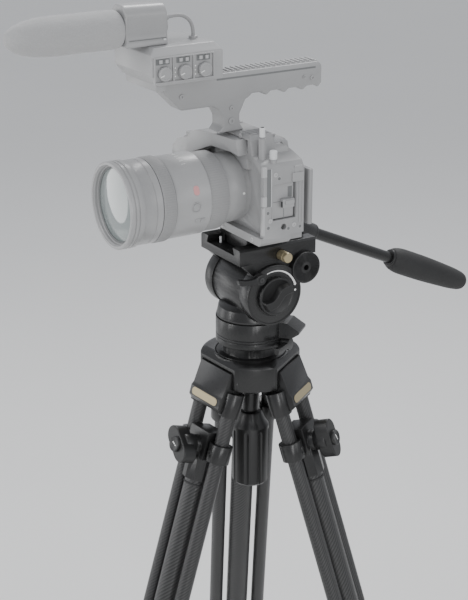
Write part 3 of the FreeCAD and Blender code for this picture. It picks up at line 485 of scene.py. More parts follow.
def build_leg(index, name, knob_turn):
    place = turned(120 * index + CROWN_TURN, "Z") @ HINGE @ LEAN
    sides = [at(side * TUBE_SIDE, TUBE_INSET, 0) for side in (-1, 1)]
    middle = at(0, TUBE_INSET, 0)
    outer = join(*[placed(pipe(*OUTER_TUBE), side) for side in sides])
    piece("outer_weave_" + name, placed(outer, place), BODY_OF["outer_tubes_" + name],
          "carbon_tube", FINE_CARBON, stands_for=("outer_tubes_" + name,))
    for node, radius, bore, low, high in INNER_TUBES:
        tube = placed(placed(pipe(radius, bore, low, high), middle), place)
        piece(node + "weave_" + name, tube, BODY_OF[node + name], "carbon_tube",
              stands_for=(node + name,))
    softened("yoke_" + name, 1.4)
    label = prism(rounded(45, 8.6, 4.2, (0, LABEL_LEVEL)), -15.35, LABEL_BACK, "y")
    rim = prism(rounded(46.6, 10.2, 5, (0, LABEL_LEVEL)), -15.0, LABEL_BACK, "y")
    piece("label_" + name, placed(label, place), "leg_" + name, "champagne_metal", bevel=0.3)
    piece("label_rim_" + name, placed(rim, place), "leg_" + name, "black_plastic", bevel=0.2)
    softened("collar_" + name, 0.9)
    softened("guide_block_" + name, 1.2)
    softened("ankle_clamp_" + name, 1.0)
    softened("foot_" + name, 1.2)
    bolts = [placed(socket_screw(2.4, 1.2), at(side * TUBE_SIDE, -9.6, -79.5) @ FORWARD)
             for side in (-1, 1)]
    piece("collar_bolts_" + name, placed(join(*bolts), place), BODY_OF["collar_" + name],
          "black_casting", BLACKENED)
    clamp_bolt = placed(socket_screw(3, 1.5), at(0, -22.2, -668) @ FORWARD)
    piece("ankle_bolt_" + name, placed(clamp_bolt, place), BODY_OF["ankle_clamp_" + name],
          "black_casting", BLACKENED)
    bands = [placed(lathe([(13.0, low), (13.7, low + 0.3), (13.7, low + 2), (13.0, low + 2.3)], 64),
                    middle) for low in (-124, -645)]
    piece("tube_bands_" + name, placed(join(*bands), place), BODY_OF["centre_tube_" + name],
          "black_rubber")
    ribs = [placed(lathe([(14.6, low), (15.35, low + 0.6), (15.35, low + 2), (14.6, low + 2.6)],
                         64), middle) for low in (-698, -704, -710)]
    piece("foot_ribs_" + name, placed(join(*ribs), place), BODY_OF["foot_" + name], "black_rubber")
    build_knob(name, place @ at(0, KNOB_FACE, KNOB_LEVEL) @ turned(knob_turn, "Y"))


def build_crown():
    softened("crown", 1.3, sharp=25)
    caps = []
    for index in range(3):
        for side in (-1, 1):
            cap = placed(socket_screw(3.6, 1.2), at(side * 33, 0, 0) @ turned(90 * side, "Y"))
            caps.append(placed(cap, turned(120 * index + CROWN_TURN, "Z") @ HINGE))
    piece("hinge_caps", join(*caps), "crown", "black_casting", BLACKENED)
    softened("tie_stud", 0.6)
    softened("tie_handle", 0.8, sharp=24)


# --- head ------------------------------------------------------------------------------------
TILT = (0, 1, 779)                                      # a point on the tilt axis
NEAR_CHEEK = 44
ROSETTE_Y, ROSETTE_Z = 39, 803
DROOP = 24.4                                            # degrees the pan bar hangs down


def arc_band(centre, radius, start, end, width_start, width_end, low, high, steps=40):
    """A tapering band round the X axis, as a prism from low to high along X."""
    outer, inner = [], []
    for step in range(steps + 1):
        share = step / steps
        turn = radians(start + (end - start) * share)
        half = (width_start + (width_end - width_start) * share) / 2
        for points, reach in ((outer, radius + half), (inner, radius - half)):
            points.append((centre[1] + reach * cos(turn), centre[2] + reach * sin(turn)))
    return prism(outer + inner[::-1], low, high, "x")


def serrated_ring(inner, outer, teeth, depth):
    """Radial teeth on a flat ring facing local Z."""
    shape = bmesh.new()
    rows = []
    for step in range(teeth * 4):
        turn = 2 * pi * step / (teeth * 4)
        lift = depth if step % 4 in (1, 2) else 0
        rows.append([shape.verts.new(Vector((radius * cos(turn), radius * sin(turn), height)) * MM)
                     for radius, height in ((inner, -0.3), (inner, lift * 0.4),
                                            (outer - 0.8, lift), (outer, -0.3))])
    for row, after in zip(rows, rows[1:] + rows[:1]):
        for k in range(3):
            shape.faces.new((row[k], after[k], after[k + 1], row[k + 1]))
    bmesh.ops.recalc_face_normals(shape, faces=shape.faces)
    return shape


def smooth_outline(points, steps=6):
    """A closed outline rounded through its points (Catmull-Rom)."""
    count, curve = len(points), []
    for index in range(count):
        a, b, c, d = (Vector(points[(index + k) % count]) for k in (-1, 0, 1, 2))
        for step in range(steps):
            t = step / steps
            spot = 0.5 * (2 * b + (c - a) * t + (2 * a - 5 * b + 4 * c - d) * t * t
                          + (3 * b - a - 3 * c + d) * t ** 3)
            curve.append((spot.x, spot.y))
    return curve


def build_head():
    softened("head_base", 0.8)
    line = lathe([(36.9, 741.6), (37.4, 741.7), (37.4, 742.3), (36.9, 742.4)], 96)
    piece("base_line", line, "head_base", "black_casting", BLACKENED)
    softened("pan_housing", 0.7)
    seam = lathe([(36.4, 746.4), (36.95, 746.6), (36.95, 747.3), (36.4, 747.5)], 96)
    piece("skirt_seam", seam, "pan_housing", "black_casting", BLACKENED)
    softened("tilt_cradle", 0.8)
    softened("platform", 0.7)
    pin_slot = block((-18.6, -30, 820), (-14.4, -13.4, 832.2))
    softened("quick_plate", 0.6, less=pin_slot)
    rim = lathe([(22.0, 0), (23.2, 0), (23.2, 0.35), (22.6, 0.5), (22.0, 0.35)], 96)
    outer_rim = lathe([(30.6, 0), (31.8, 0), (31.8, 0.3), (31.2, 0.4), (30.6, 0.3)], 96)
    cheek_place = at(NEAR_CHEEK, TILT[1], TILT[2]) @ ALONG_X
    piece("cheek_rings", placed(join(rim, outer_rim), cheek_place), "cradle", "black_casting")
    scale = join(arc_band(TILT, 26.4, 111, 18, 0.7, 2.3, NEAR_CHEEK - 0.1, NEAR_CHEEK + 0.3),
                 arc_band(TILT, 26.4, 18, 14, 3.6, 0.3, NEAR_CHEEK - 0.1, NEAR_CHEEK + 0.3, 6),
                 placed(disc(1.2, -0.1, 0.3, 0.1, 20),
                        at(NEAR_CHEEK, TILT[1] + 25.6, TILT[2] + 1.4) @ ALONG_X))
    piece("drag_scale", scale, "cradle", "black_casting", WHITE)
    for name, x, facing in (("near", 46, 90), ("far", -46, -90)):
        teeth = serrated_ring(6.2, 16.4, 48, 0.55 if name == "near" else 0.2)
        teeth = placed(teeth, at(x, ROSETTE_Y, ROSETTE_Z) @ turned(facing, "Y"))
        piece("rosette_" + name, teeth, "cradle", "black_casting")
    build_dial()
    build_levers()
    button = placed(lathe([(0, 33), (5.4, 33), (5.4, 47.6), (4.9, 48), (4.9, 48.8), (5.4, 49.2),
                           (5.4, 52), (4.7, 53), (0, 53)], 48, closed=False),
                    at(0, 12, 820) @ ALONG_X)
    piece("button_cap", button, "safety_button", "champagne_metal",
          stands_for=("safety_button",), bevel=0.15)
    pin = placed(disc(1.3, 824.2, 831.4, 0.4, 24), at(-16.5, -27.5, 0))
    piece("catch_pin", pin, "cradle", "champagne_metal", BRIGHT)
    screws = [placed(socket_screw(2.6, 0.3), at(x, y, 824.15)) for x, y in ((8, -31), (-2, 51))]
    piece("channel_screws", join(*screws), "cradle", "black_casting", BLACKENED)


def build_dial():
    """Drag dial: a dished disc with an S-shaped raised grip."""
    base = lathe([(0, 0.2), (20.4, 0.2), (20.9, 0.8), (20.9, 4.6), (20.2, 5.6), (18.6, 5.9),
                  (17.6, 5.2), (0, 4.8)], 96,
                 lambda step, point: -0.35 if point in (2, 3) and step % 4 < 2 else 0, False)
    top, bottom = [], []
    for step in range(33):
        along = -18.4 + 36.8 * step / 32
        swing = 2.6 * sin(pi * along / 15)
        flare = 6.2 + 1.6 * abs(along / 18.4) ** 2
        room = max(0.0, 19.8 ** 2 - along ** 2) ** 0.5
        top.append((along, min(swing + flare, room)))
        bottom.append((along, max(swing - flare, -room)))
    grip = prism(top + bottom[::-1], 4.6, 11.7)
    for vertex in grip.verts:
        if vertex.co.z > 8 * MM:
            vertex.co.x *= 0.93
            vertex.co.y *= 0.66
    place = at(NEAR_CHEEK, TILT[1], TILT[2]) @ turned(32, "X") @ ALONG_X @ turned(90, "Z")
    piece("dial_disc", placed(base, place), "drag_dial", "black_plastic",
          stands_for=("drag_dial",), bevel=0.2, sharp=40)
    piece("dial_grip", placed(grip, place), "drag_dial", "black_plastic", bevel=0.9, sharp=30,
          segments=3)


def build_levers():
    arm = smooth_outline([(-14.6, 801.5), (-17, 806.4), (-22, 806.2), (-29, 803.6), (-38, 803.9),
                          (-45, 805.6), (-46.6, 803.2), (-43.5, 799.2), (-34, 798.4),
                          (-26, 797.6), (-20, 796.2), (-16, 797.6)])
    hub = placed(disc(5.8, 0.3, 7.8, 0.5), at(NEAR_CHEEK, -19.5, 801.5) @ ALONG_X)
    piece("tilt_lever", join(prism(arm, 46.2, 51.6, "x"), hub), "tilt_lock", "black_plastic",
          stands_for=("tilt_lock",), bevel=1.0, sharp=45, segments=3)
    screw = placed(socket_screw(2.6, 0.6), at(51.8, -19.5, 801.5) @ ALONG_X)
    piece("tilt_lever_screw", screw, "tilt_lock", "black_plastic", BLACKENED)
    softened("pan_lock", 1.0)


# --- pan bar ---------------------------------------------------------------------------------
def build_pan_bar():
    softened("bar_bracket", 1.0)
    softened("bar_knob", 0.8)
    along = at(-52, 84, 815.4) @ turned(-90 - DROOP, "X")
    bar = lathe([(6.5, 0), (6.5, 154), (0, 154), (0, 0)], 48)
    piece("bar_tube", placed(bar, along), "bar", "black_casting", stands_for=("pan_bar",))
    knots = [(7, 153.2), (10, 153), (12, 155), (13.6, 159.5), (14.7, 166), (15, 176), (15, 190),
             (14.9, 203), (14.4, 220), (13.6, 238), (12.8, 252), (11.8, 262), (10.4, 269),
             (8.0, 273.0), (4.0, 275.0), (0, 275.4)]
    grip = lathe(knots, 64, closed=False)
    bmesh.ops.subdivide_edges(grip, edges=grip.edges, cuts=1, smooth=0.6, use_grid_fill=True)
    piece("grip_foam", placed(grip, along), "bar", "black_rubber", stands_for=("bar_grip",))
    ring = lathe([(6.6, 150.4), (9.4, 150.4), (10.2, 151.2), (10.2, 153.6), (6.6, 153.6)], 48)
    clamp = lathe([(6.6, 29), (9.6, 29), (9.6, 33), (9, 34), (6.6, 34)], 48)
    piece("bar_rings", placed(join(ring, clamp), along), "bar", "black_plastic", bevel=0.2)


# --- camera ----------------------------------------------------------------------------------
LENS = at(0, 0, 890) @ FORWARD                          # local Z runs forward along the lens
MICROPHONE = at(0, 0, 1063) @ FORWARD
NEAR_FACE = 66                                          # outer face of the cage's near plate


def ribbed(depth):
    """A ripple of longitudinal ribs for a turned ring, 4 steps to a rib."""
    return lambda step, point: -depth if point in (2, 3) and step % 4 in (0, 1) else 0


def build_lens():
    profile = [
        (0, 28.2), (35.8, 28.2), (36, 29), (36, 48.6), (35, 50), (34, 50), (34, 71.5),
        (40.8, 71.5), (42, 72.7), (42, 109.6), (41.4, 110.6), (41.2, 112), (34, 112),
        (34, 126.5), (42, 126.5), (42.8, 127.4), (42.8, 133.4), (42.3, 133.8), (42.3, 134.4),
        (42.8, 134.8), (42.8, 146), (43.4, 147), (44, 148.2), (44, 153), (43.2, 153.5),
        (43.2, 154.5), (44, 155), (44, 157.2), (43.2, 157.7), (43.2, 158.5), (44, 159),
        (44, 161.6), (43.4, 162.6), (42.2, 163), (40.6, 162.9), (39.8, 161.4), (39.2, 160.8),
        (39.2, 158.4), (38.2, 157.8), (38, 156), (0, 156)]
    piece("lens_shell", placed(lathe(profile, 128, closed=False), LENS), "camera",
          "pale_plastic", stands_for=("lens_barrel",), sharp=40)
    for name, radius, low, high, count in (("zoom_ring", 40.5, 50.3, 71.2, 96),
                                           ("focus_ring", 43.4, 112.3, 126.2, 110)):
        smooth_end = 1.6
        shape = lathe([(34.05, low), (radius - 0.8, low), (radius, low + smooth_end),
                       (radius, high - smooth_end), (radius - 0.8, high), (34.05, high)],
                      count * 4, ribbed(0.28))
        piece("ribbed_" + name, placed(shape, LENS), name, "pale_rubber", stands_for=(name,),
              sharp=50)
    bowl = lathe([(0, 159.6), (8, 159.45), (16, 159.0), (24, 158.2), (30, 157.3), (36.6, 156.1),
                  (36.6, 156.0), (0, 156.0)], 96, closed=False)
    piece("front_element", placed(bowl, LENS), "camera", "lens_glass",
          stands_for=("front_glass",), sharp=60)
    inner = lathe([(36.4, 156.0), (38.2, 156.0), (38.2, 157.4), (37.4, 157.6), (36.4, 157.0)], 96)
    piece("retaining_ring", placed(inner, LENS), "camera", "pale_plastic", SHADE)
    gap = lathe([(40.6, 111.2), (41.45, 111.2), (41.45, 111.9), (40.6, 111.9)], 96)
    piece("lens_gap", placed(gap, LENS), "camera", "pale_plastic", SHADE)
    build_lens_marks()


def on_barrel(radius, degrees, along):
    """A place on the lens barrel with local Z pointing out of it."""
    return LENS @ turned(degrees, "Z") @ at(radius, 0, along) @ ALONG_X


def build_lens_marks():
    patch = prism(rounded(6.4, 9.6, 3.0), -0.6, 0.35)
    piece("lens_patch", placed(patch, on_barrel(42, 19.8, 88.5)), "camera", "pale_plastic",
          PALE_RED, bevel=0.15)
    button = join(lathe([(4.4, -0.6), (5.4, -0.6), (5.4, 0.4), (5.0, 0.6), (4.4, 0.3)], 48),
                  lathe([(0, -0.6), (3.9, -0.6), (3.9, 0.5), (3.4, 0.8), (0, 0.6)], 48,
                        closed=False))
    piece("lens_button", placed(button, on_barrel(42, -3, 90)), "camera", "pale_plastic")
    dot = placed(disc(1.3, -0.3, 0.35, 0.1, 24), on_barrel(36, 2.7, 31.4))
    piece("mount_dot", dot, "camera", "pale_plastic", WHITE)
    ticks = [placed(block((-2.2, -0.18, -0.3), (2.2, 0.18, 0.25)),
                    on_barrel(42, 62 + 7 * index, 92)) for index in range(9)]
    piece("lens_scale", join(*ticks), "camera", "pale_plastic", WHITE)
    switch = join(placed(prism(rounded(12, 5, 2), -0.8, 0.5), on_barrel(42, -24, 84)),
                  placed(prism(rounded(4, 4, 1.2), 0, 1.3), on_barrel(42, -24, 82)))
    piece("lens_switch", switch, "camera", "pale_plastic", bevel=0.3)


def build_camera():
    softened("camera_body", 1.6, sharp=24)
    softened("cage", 0.7)
    softened("screen", 1.0)
    softened("shutter_button", 0.5)
    skin = prism([(-35.6, -21.5), (-40.6, -46.4), (-47.8, -54.4), (-58.3, -52.5),
                  (-65.4, -41.2), (-65.4, 12.2), (-60, 24.4), (-57, 24.4), (-57, -21.5)], 856, 905)
    piece("grip_skin", skin, "camera", "pale_rubber", GRAIN_LEATHER, bevel=0.8)
    build_camera_top()
    build_camera_back()
    build_near_side()
    build_cage_screws()


def dial(radius, low, high, ribs=36):
    profile = [(0, low), (radius - 0.4, low), (radius, low + 0.4), (radius, high - 0.8),
               (radius - 0.8, high), (radius - 2, high), (radius - 2.3, high - 0.3),
               (0, high - 0.3)]
    return lathe(profile, ribs * 4, ribbed(0.35), closed=False)


def build_camera_top():
    mode = placed(dial(8.5, 924, 936.5), at(-47, 6, 0))
    wheel = placed(dial(6.5, 918, 930.5), at(-50.5, -14, 0))
    piece("top_dials", join(mode, wheel), "camera", "pale_plastic")
    dots = [placed(disc(0.5, 0, 0.25, 0.05, 12),
                   at(-47 + 5 * cos(k * pi / 5), 6 + 5 * sin(k * pi / 5), 936.15))
            for k in range(10)]
    piece("dial_dots", join(*dots), "camera", "pale_plastic", WHITE)
    shoe = join(block((-10, 4, 937), (10, 22, 938.6)), block((-10, 4, 938), (-6.4, 22, 940.6)),
                block((6.4, 4, 938), (10, 22, 940.6)), block((-10, 3, 938), (10, 5, 939.6)))
    piece("hot_shoe", shoe, "camera", "pale_alloy", bevel=0.25)
    deck = [block((-28 + 5 * k, -21.5, 949.6), (-25.6 + 5 * k, -1, 951.0)) for k in range(3)]
    deck += [block((16 + 5 * k, -21.5, 949.6), (18.4 + 5 * k, -1, 951.0)) for k in range(4)]
    piece("cage_rail", join(*deck), "camera", "pale_alloy", bevel=0.3)
    collar = placed(lathe([(5.6, 0), (8.2, 0), (8.2, 0.7), (7.6, 1.2), (5.6, 1.2)], 48),
                    at(-52, -41, 933.6) @ turned(-22, "Y"))
    piece("shutter_collar", collar, "camera", "pale_plastic", bevel=0.15)


def build_camera_back():
    cup = prism(rounded(38, 19, 6, (0, 927)), 23, 31, "y")
    hole = prism(rounded(24, 11, 3, (0, 927)), 30.6, 31.3, "y")
    piece("eyecup", cup, "camera", "pale_rubber", bevel=1.2, segments=3)
    # painted shade: the eyepiece window made near-black
    piece("eyecup_glass", hole, "camera", "lens_glass", RECESS_SHADE, bevel=0.2)
    back = 24
    parts = [placed(disc(8.5, -0.5, 1.8, 0.6, 48), at(-39, back, 878) @ ALONG_Y),
             placed(lathe([(5.2, 1.6), (7.6, 1.6), (7.6, 2.4), (5.2, 2.4)], 48),
                    at(-39, back, 878) @ ALONG_Y),
             placed(disc(3.6, -0.5, 4, 0.8, 32), at(-30, back, 903) @ ALONG_Y)]
    for x, z in ((-50, 906), (-42, 906), (-50, 893), (-27, 890), (-27, 863), (-50, 863)):
        parts.append(placed(disc(2.6, -0.5, 1.6, 0.4, 28), at(x, back, z) @ ALONG_Y))
    piece("back_buttons", join(*parts), "camera", "pale_plastic", bevel=0.15)
    rest = prism(smooth_outline([(-60, 886), (-56, 912), (-44, 917), (-40, 911), (-50, 905),
                                 (-54, 886)]), back - 0.5, back + 3.2, "y")
    piece("thumb_rest", rest, "camera", "pale_rubber", GRAIN_LEATHER, bevel=0.9)
    frame_line = [block((x0, 32.8, z0), (x1, 33.15, z1)) for x0, z0, x1, z1 in
                  ((-9, 860, 59, 861), (-9, 911, 59, 912), (-9, 860, -8, 912), (58, 860, 59, 912))]
    piece("screen_frame", join(*frame_line), "screen", "screen_back", SHADE)


def build_near_side():
    """Ports, clamp and edge blocks on the cage's near plate and in its window."""
    face = NEAR_FACE
    lid = prism(rounded(25, 35.5, 1.2, (-2.5, 886.5)), 58.8, 63.2, "x")
    piece("port_lid", lid, "camera", "pale_plastic", bevel=0.5)
    lines = [block((63.0, -14.6, 886), (63.35, 9.6, 886.5)),
             block((63.0, -2, 869.6), (63.35, -1.4, 886)),
             block((63.0, 3, 890), (63.35, 8, 900.6))]
    piece("port_lines", join(*lines), "camera", "pale_plastic", SHADE)
    clamp = join(block((face - 5, -6.5, 880.5), (face + 3.4, 7.5, 889.5)),
                 block((face + 1, -4, 884), (face + 4.6, 7, 888.4)))
    piece("cable_clamp", clamp, "camera", "pale_alloy", bevel=0.7)
    # painted shade: a near-black strip for the slit at the clamp's jaw
    jaw = block((face + 1.2, -7.2, 881.4), (face + 2.8, -6.2, 887.2))
    piece("clamp_jaw_shade", jaw, "camera", "pale_alloy", RECESS_SHADE)
    edge = [block((face - 2.5, -28.8, z0), (face + 0.7, -23.6, z1))
            for z0, z1 in ((914.4, 924.6), (884.2, 894.4))]
    edge.append(block((face - 2.5, -28.4, 854), (face + 0.4, -25.6, 883.2)))
    piece("edge_blocks", join(*edge), "camera", "pale_alloy", BRIGHT_ALLOY, bevel=0.35)
    slot = block((face - 0.6, -23.4, 883.4), (face + 0.12, -18.6, 921.5))
    piece("edge_slot", slot, "camera", "pale_alloy", SHADE)
    line = block((face - 0.4, -18.5, 883), (face + 0.35, -17.9, 921.8))
    piece("edge_line", line, "camera", "pale_alloy", BRIGHT)
    ridges = [block((face - 0.4, 14.6, 862), (face + 0.6, 16.0, 916)),
              block((face - 0.4, 18.4, 862), (face + 0.5, 19.6, 916))]
    ridges += [block((face - 0.4, y, 871), (face + 0.5, y + 0.9, 903)) for y in (11.6, -17.6)]
    piece("plate_ridges", join(*ridges), "camera", "pale_alloy", bevel=0.25)
    shelf = join(prism([(30, 934), (44, 930), (44, 931.4), (40, 934.6), (30, 937)], 2, 17, "y"),
                 prism([(30, 934), (42, 930.4), (42, 933.4), (30, 938.4)], 15.6, 18, "y"))
    piece("rear_ledge", shelf, "camera", "pale_alloy", bevel=0.3)
    lug = join(block((61, 6, 905.5), (67.6, 20, 915)), block((60, 9, 914), (66.6, 19, 921.5)))
    piece("strap_lug", lug, "camera", "pale_alloy", bevel=0.8)


def build_cage_screws():
    spots = [(-22, 877), (-21.5, 861.5), (2.5, 857.5), (16.5, 857.5), (12.8, 911.5), (-9, 911)]
    rims = [placed(lathe([(1.7, -0.2), (2.5, -0.2), (2.5, 0.15), (1.7, 0.25)], 28),
                   at(NEAR_FACE, y, z) @ ALONG_X) for y, z in spots]
    holes = [placed(disc(1.65, -0.4, 0.06, 0.02, 20), at(NEAR_FACE, y, z) @ ALONG_X)
             for y, z in spots]
    piece("thread_rims", join(*rims), "camera", "pale_alloy")
    piece("thread_holes", join(*holes), "camera", "pale_alloy", SHADE)
    screws = [placed(socket_screw(2.3, 0.7), at(NEAR_FACE, y, z) @ ALONG_X)
              for y, z in ((-19.5, 868.5), (9, 860.5), (-13.5, 915.5))]
    for index in range(2):
        screws.append(placed(socket_screw(2.2, 0.8), at(-22 + 44 * index, -27, 947.7) @ FORWARD))
    screws += [placed(socket_screw(2.4, 0.8), at(x, -30, 846.8) @ FORWARD)
               for x in (-50, -8, 50)]
    piece("cage_screws", join(*screws), "camera", "pale_alloy", BRIGHT_ALLOY)
    caps = join(placed(lathe([(0, 951), (2.2, 951), (2.9, 951.6), (2.9, 960.4), (2.2, 961),
                              (0, 961)], 28, closed=False), at(50, -19, 0)),
                placed(lathe([(0, 929), (3.1, 929), (3.9, 929.8), (3.9, 937.4), (3.1, 938.2),
                              (0, 938.2)], 28, closed=False), at(58, -11, 0)))
    piece("clamp_pins", caps, "camera", "pale_alloy", BRIGHT)


# --- top handle, adapter and microphone --------------------------------------------------------
def build_top_handle():
    softened("top_handle", 1.6, sharp=26)
    teeth = [block((-7.5, y, 1009.6), (7.5, y + 3.2, 1012.2)) for y in range(-46, 72, 6)]
    rail = prism([(-8.5, 1009.4), (8.5, 1009.4), (7.6, 1010.9), (-7.6, 1010.9)], -50, 74, "y")
    piece("handle_teeth", join(rail, *teeth), "camera", "pale_alloy", bevel=0.4)
    slots = [block((side * 11.0 - 0.15, -48, 1003.6), (side * 11.0 + 0.15, 70, 1005.4))
             for side in (-1, 1)]
    piece("handle_grooves", join(*slots), "camera", "pale_alloy", SHADE)
    spots = ((-31, 961, 3.4), (-31, 974, 2.4), (66, 994, 2.6), (-88, 992, 2.6), (56, 996, 1.6))
    screws = [placed(socket_screw(radius, 1.0), at(side * 11, y, z) @ turned(90 * side, "Y"))
              for side in (-1, 1) for y, z, radius in spots]
    piece("handle_screws", join(*screws), "camera", "pale_alloy")


def build_adapter():
    """The audio adapter's controls on its near side and its sockets on the far side."""
    softened("adapter", 2.6, sharp=24)
    near, far = 30, -46
    socket_level, socket_rows = 1029, (-118, -84)
    knob_level = 1022
    guards = [block((near - 0.5, y, 1014), (near + 1.8, y + 1.6, 1037.6)) for y in
              (-129, -108.6, -86.4, -64)]
    guards += [block((near - 0.5, -129, 1036.6), (near + 1.6, -62.4, 1038)),
               block((near - 0.5, -129, 1012.6), (near + 1.8, -62.4, 1014.2))]
    piece("adapter_guards", join(*guards), "camera", "pale_plastic", bevel=0.4)
    plates = [block((near - 0.3, y, 1030.6), (near + 0.25, y + 15, 1036.6))
              for y in (-126.4, -104, -81.8)]
    piece("switch_plates", join(*plates), "camera", "pale_plastic", SHADE)
    toggles = []
    for y in (-118.5, -96.5, -74.5):
        toggles += [block((near, y - 4.8, 1031.8), (near + 1.5, y - 1.2, 1035.4)),
                    block((near, y + 2.0, 1031.8), (near + 1.5, y + 5.4, 1035.4))]
    piece("switch_toggles", join(*toggles), "camera", "pale_plastic", BRIGHT_ALLOY, bevel=0.35)
    marks = [placed(disc(0.7, 0, 0.3, 0.1, 14), at(near, y, z) @ ALONG_X)
             for y in (-127.6, -105.4, -83.2) for z in (1018, 1022, 1026)]
    piece("adapter_lights", join(*marks), "camera", "pale_plastic", WHITE)
    for name, y in (("front", -118), ("middle", -96), ("back", -74)):
        knob = placed(dial(7, 0.2, 5.5, 20), at(near, y, knob_level) @ ALONG_X)
        piece("gain_knob_" + name, knob, "gain_dial_" + name, "pale_plastic",
              stands_for=("gain_dial_" + name,))
        mark = placed(block((-0.4, 2, 5.0), (0.4, 6.2, 5.75)),
                      at(near, y, knob_level) @ ALONG_X @ turned(200, "Z"))
        piece("gain_mark_" + name, mark, "gain_dial_" + name, "pale_plastic", WHITE)
    seam = block((far - 0.2, -124, 1020.6), (far + 0.2, -60, 1021.2))
    piece("adapter_seam", seam, "camera", "pale_plastic", SHADE)
    sockets = [placed(lathe([(9, -0.4), (11, -0.4), (11, 1.6), (10.4, 2), (9, 1.2)], 48),
                      at(far, y, socket_level) @ turned(-90, "Y")) for y in socket_rows]
    piece("adapter_sockets", join(*sockets), "camera", "pale_plastic")
    # painted shade: near-black discs deep in the sockets
    depths = [placed(disc(9, -0.4, 0.3, 0.1, 40), at(far, y, socket_level) @ turned(-90, "Y"))
              for y in socket_rows]
    piece("socket_depths", join(*depths), "camera", "pale_plastic", RECESS_SHADE)
    boot = lathe([(1.9, 1048.6), (3.4, 1048.6), (4.3, 1047.6), (4.3, 1045.5), (1.9, 1045.5)], 40)
    piece("lead_socket", placed(boot, at(0, -68, 0)), "camera", "pale_plastic")


def build_mic_clamp():
    """A round-shouldered clamp on a lipped foot, thinner towards its rear end."""
    low, high = 1046, 1086
    shoulder = [(14.2 - 9.5 * (1 - cos(turn)), high - 11 + 11 * sin(turn))
                for turn in (pi / 2 * step / 10 for step in range(11))]
    side = [(15, low), (15, low + 4.4), (14.2, low + 5.6), (14.2, low + 12)] + shoulder
    shape = prism(side + [(-x, z) for x, z in side[::-1]], -149.7, -104, "y")
    for vertex in shape.verts:
        if vertex.co.y > -0.13 and vertex.co.z > (low + 7) * MM:
            vertex.co.z -= 1.4 * MM * (vertex.co.z / MM - low - 7) / (high - low - 7)
    brow = prism(smooth_outline([(-14.0, high - 12), (-11, high - 3.2), (0, high - 0.4),
                                 (11, high - 3.2), (14.0, high - 12), (0, high - 16)]),
                 -149.6, -137, "y")
    piece("mic_clamp_shell", join(shape, brow), "camera", "pale_plastic",
          stands_for=("mic_clamp",), bevel=1.8, sharp=35, segments=3)


def build_microphone():
    build_mic_clamp()
    split = [block((side * 15 - 0.2, -146, 1052.6), (side * 15 + 0.2, -106, 1053.4))
             for side in (-1, 1)]
    piece("clamp_split", join(*split), "camera", "pale_plastic", SHADE)
    # painted glint: a small bright patch on the clamp's side
    glint = block((14.6, -109.5, 1050.6), (15.5, -106.5, 1052.4))
    piece("clamp_glint", glint, "camera", "pale_plastic", BRIGHT, bevel=0.2)
    tail = placed(lathe([(0, 100.7), (9, 100.7), (9.8, 101.5), (9.8, 150), (9.8, 250), (0, 250)],
                        64, closed=False), MICROPHONE)
    piece("mic_tube", tail, "camera", "pale_plastic", stands_for=("mic_body",))
    build_foam()
    build_lead()


def build_foam():
    """The windscreen: a soft closed form with a rolled mouth and a fuzzy skin."""
    profile = [(9.9, 158), (9.9, 152), (11, 150.6), (13.5, 150.3), (16.4, 150.9), (18.2, 153)]
    straight = [(18.95, 158 + 4 * k) for k in range(17)]
    tip = []
    for step in range(1, 15):
        turn = pi / 2 * step / 14
        tip.append((18.95 * cos(turn) ** 0.92, 222 + 45.6 * sin(turn)))
    shape = lathe(profile + straight + tip[:-1] + [(0, 267.6)], 72, closed=False)
    bmesh.ops.subdivide_edges(shape, edges=shape.edges, cuts=1, use_grid_fill=True)
    bmesh.ops.recalc_face_normals(shape, faces=shape.faces)
    shape.normal_update()
    for vertex in shape.verts:
        spot = vertex.co / MM
        if spot.z > 152:
            fuzz = noise.noise(spot * 1.1) * 0.30 + noise.noise(spot * 0.12) * 0.25 - 0.3
            vertex.co += vertex.normal * fuzz * MM
    item = piece("windscreen", placed(shape, MICROPHONE), "camera", "pale_foam",
                 stands_for=("mic_foam",), sharp=180)


def build_lead():
    route = [(0, -100.3, 1068.6), (0, -86, 1071.5), (0, -74, 1067), (0, -68, 1058), (0, -68, 1049)]
    curve = bpy.data.curves.new("mic_cable", "CURVE")
    curve.dimensions = "3D"
    spline = curve.splines.new("NURBS")
    spline.points.add(len(route) - 1)
    for point, spot in zip(spline.points, route):
        point.co = (*(part * MM for part in spot), 1)
    spline.order_u = 3
    spline.use_endpoint_u = True
    spline.resolution_u = 24
    curve.bevel_depth = 1.8 * MM
    curve.bevel_resolution = 6
    curve.use_fill_caps = True
    curve.materials.append(FINISH["lead_jacket"])
    cable = bpy.data.objects.new("mic_cable", curve)
    bpy.context.scene.collection.objects.link(cable)
    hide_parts("mic_lead")
    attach(cable, "camera")
    boot = placed(lathe([(1.9, 0), (3.2, 0), (3.0, 3.4), (2.4, 4.4), (1.9, 4.4)], 32),
                  at(0, -100.6, 1068.5) @ turned(-90 + 11, "X"))
    piece("lead_boot", boot, "camera", "lead_jacket")


# --- floor and light ---------------------------------------------------------------------------
FLOOR_SIZE = 40.0                                       # metres from the middle to an edge
SKY, SKY_STRENGTH = (0.93, 0.95, 1.0, 1), 0.74


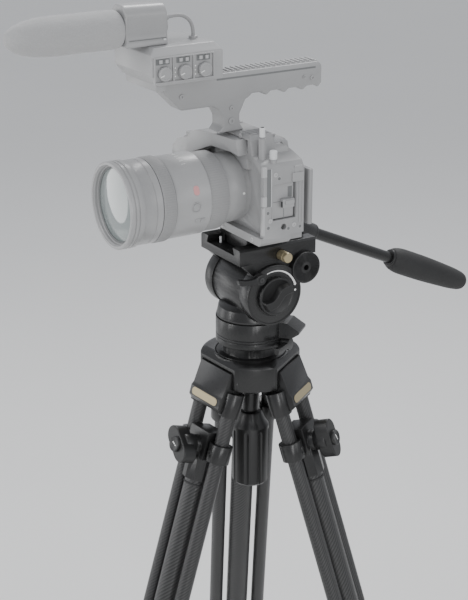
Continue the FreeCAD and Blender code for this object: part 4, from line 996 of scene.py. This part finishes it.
def build_stage():
    floor = bpy.data.objects.new("floor", bpy.data.meshes.new("floor"))
    shape = bmesh.new()
    bmesh.ops.create_grid(shape, x_segments=16, y_segments=16, size=FLOOR_SIZE)
    shape.to_mesh(floor.data)
    shape.free()
    nodes = Nodes("floor_paint")
    tone = nodes.mix(nodes.noise(1.2), (0.72, 0.72, 0.71, 1), (0.78, 0.78, 0.77, 1))
    floor.data.materials.append(nodes.finish(Base_Color=tone, Roughness=0.7))
    bpy.context.scene.collection.objects.link(floor)


def lamp(name, place, aim, size, power, tall=None):
    """An oval area lamp aimed at a point; sizes in metres, power in watts."""
    data = bpy.data.lights.new(name, "AREA")
    data.shape = "ELLIPSE"
    data.size = size
    data.size_y = tall or size
    data.energy = power
    light = bpy.data.objects.new(name, data)
    light.location = place
    light.rotation_euler = (Vector(aim) - Vector(place)).to_track_quat("-Z", "Y").to_euler()
    bpy.context.scene.collection.objects.link(light)


def build_light():
    world = bpy.data.worlds.new("studio")
    world.use_nodes = True
    backdrop = world.node_tree.nodes["Background"]
    backdrop.inputs["Color"].default_value = SKY
    backdrop.inputs["Strength"].default_value = SKY_STRENGTH
    bpy.context.scene.world = world
    head, lens = (0, 0, 0.75), (0, -0.16, 0.89)
    lamp("key", (-0.1, -1.6, 2.3), (0, 0, 0.88), size=0.9, power=12)
    lamp("side", (2.3, 0.7, 1.5), head, size=1.2, power=9)
    lamp("overhead", (-0.9, 1.0, 2.5), (0, 0, 0.9), size=1.0, power=36)
    lamp("strip", (1.95, -0.75, 0.95), head, size=0.45, power=12, tall=1.1)
    lamp("far_strip", (-0.6, -2.0, 0.95), head, size=0.4, power=10, tall=1.1)
    lamp("lens_glow", (-1.75, -1.25, 0.52), lens, size=1.0, power=4.4, tall=0.9)


place_camera()
build_crown()
for index, (name, knob_turn) in enumerate(LEGS.items()):
    build_leg(index, name, knob_turn)
build_head()
build_pan_bar()
build_camera()
build_lens()
build_top_handle()
build_adapter()
build_microphone()
build_stage()
build_light()
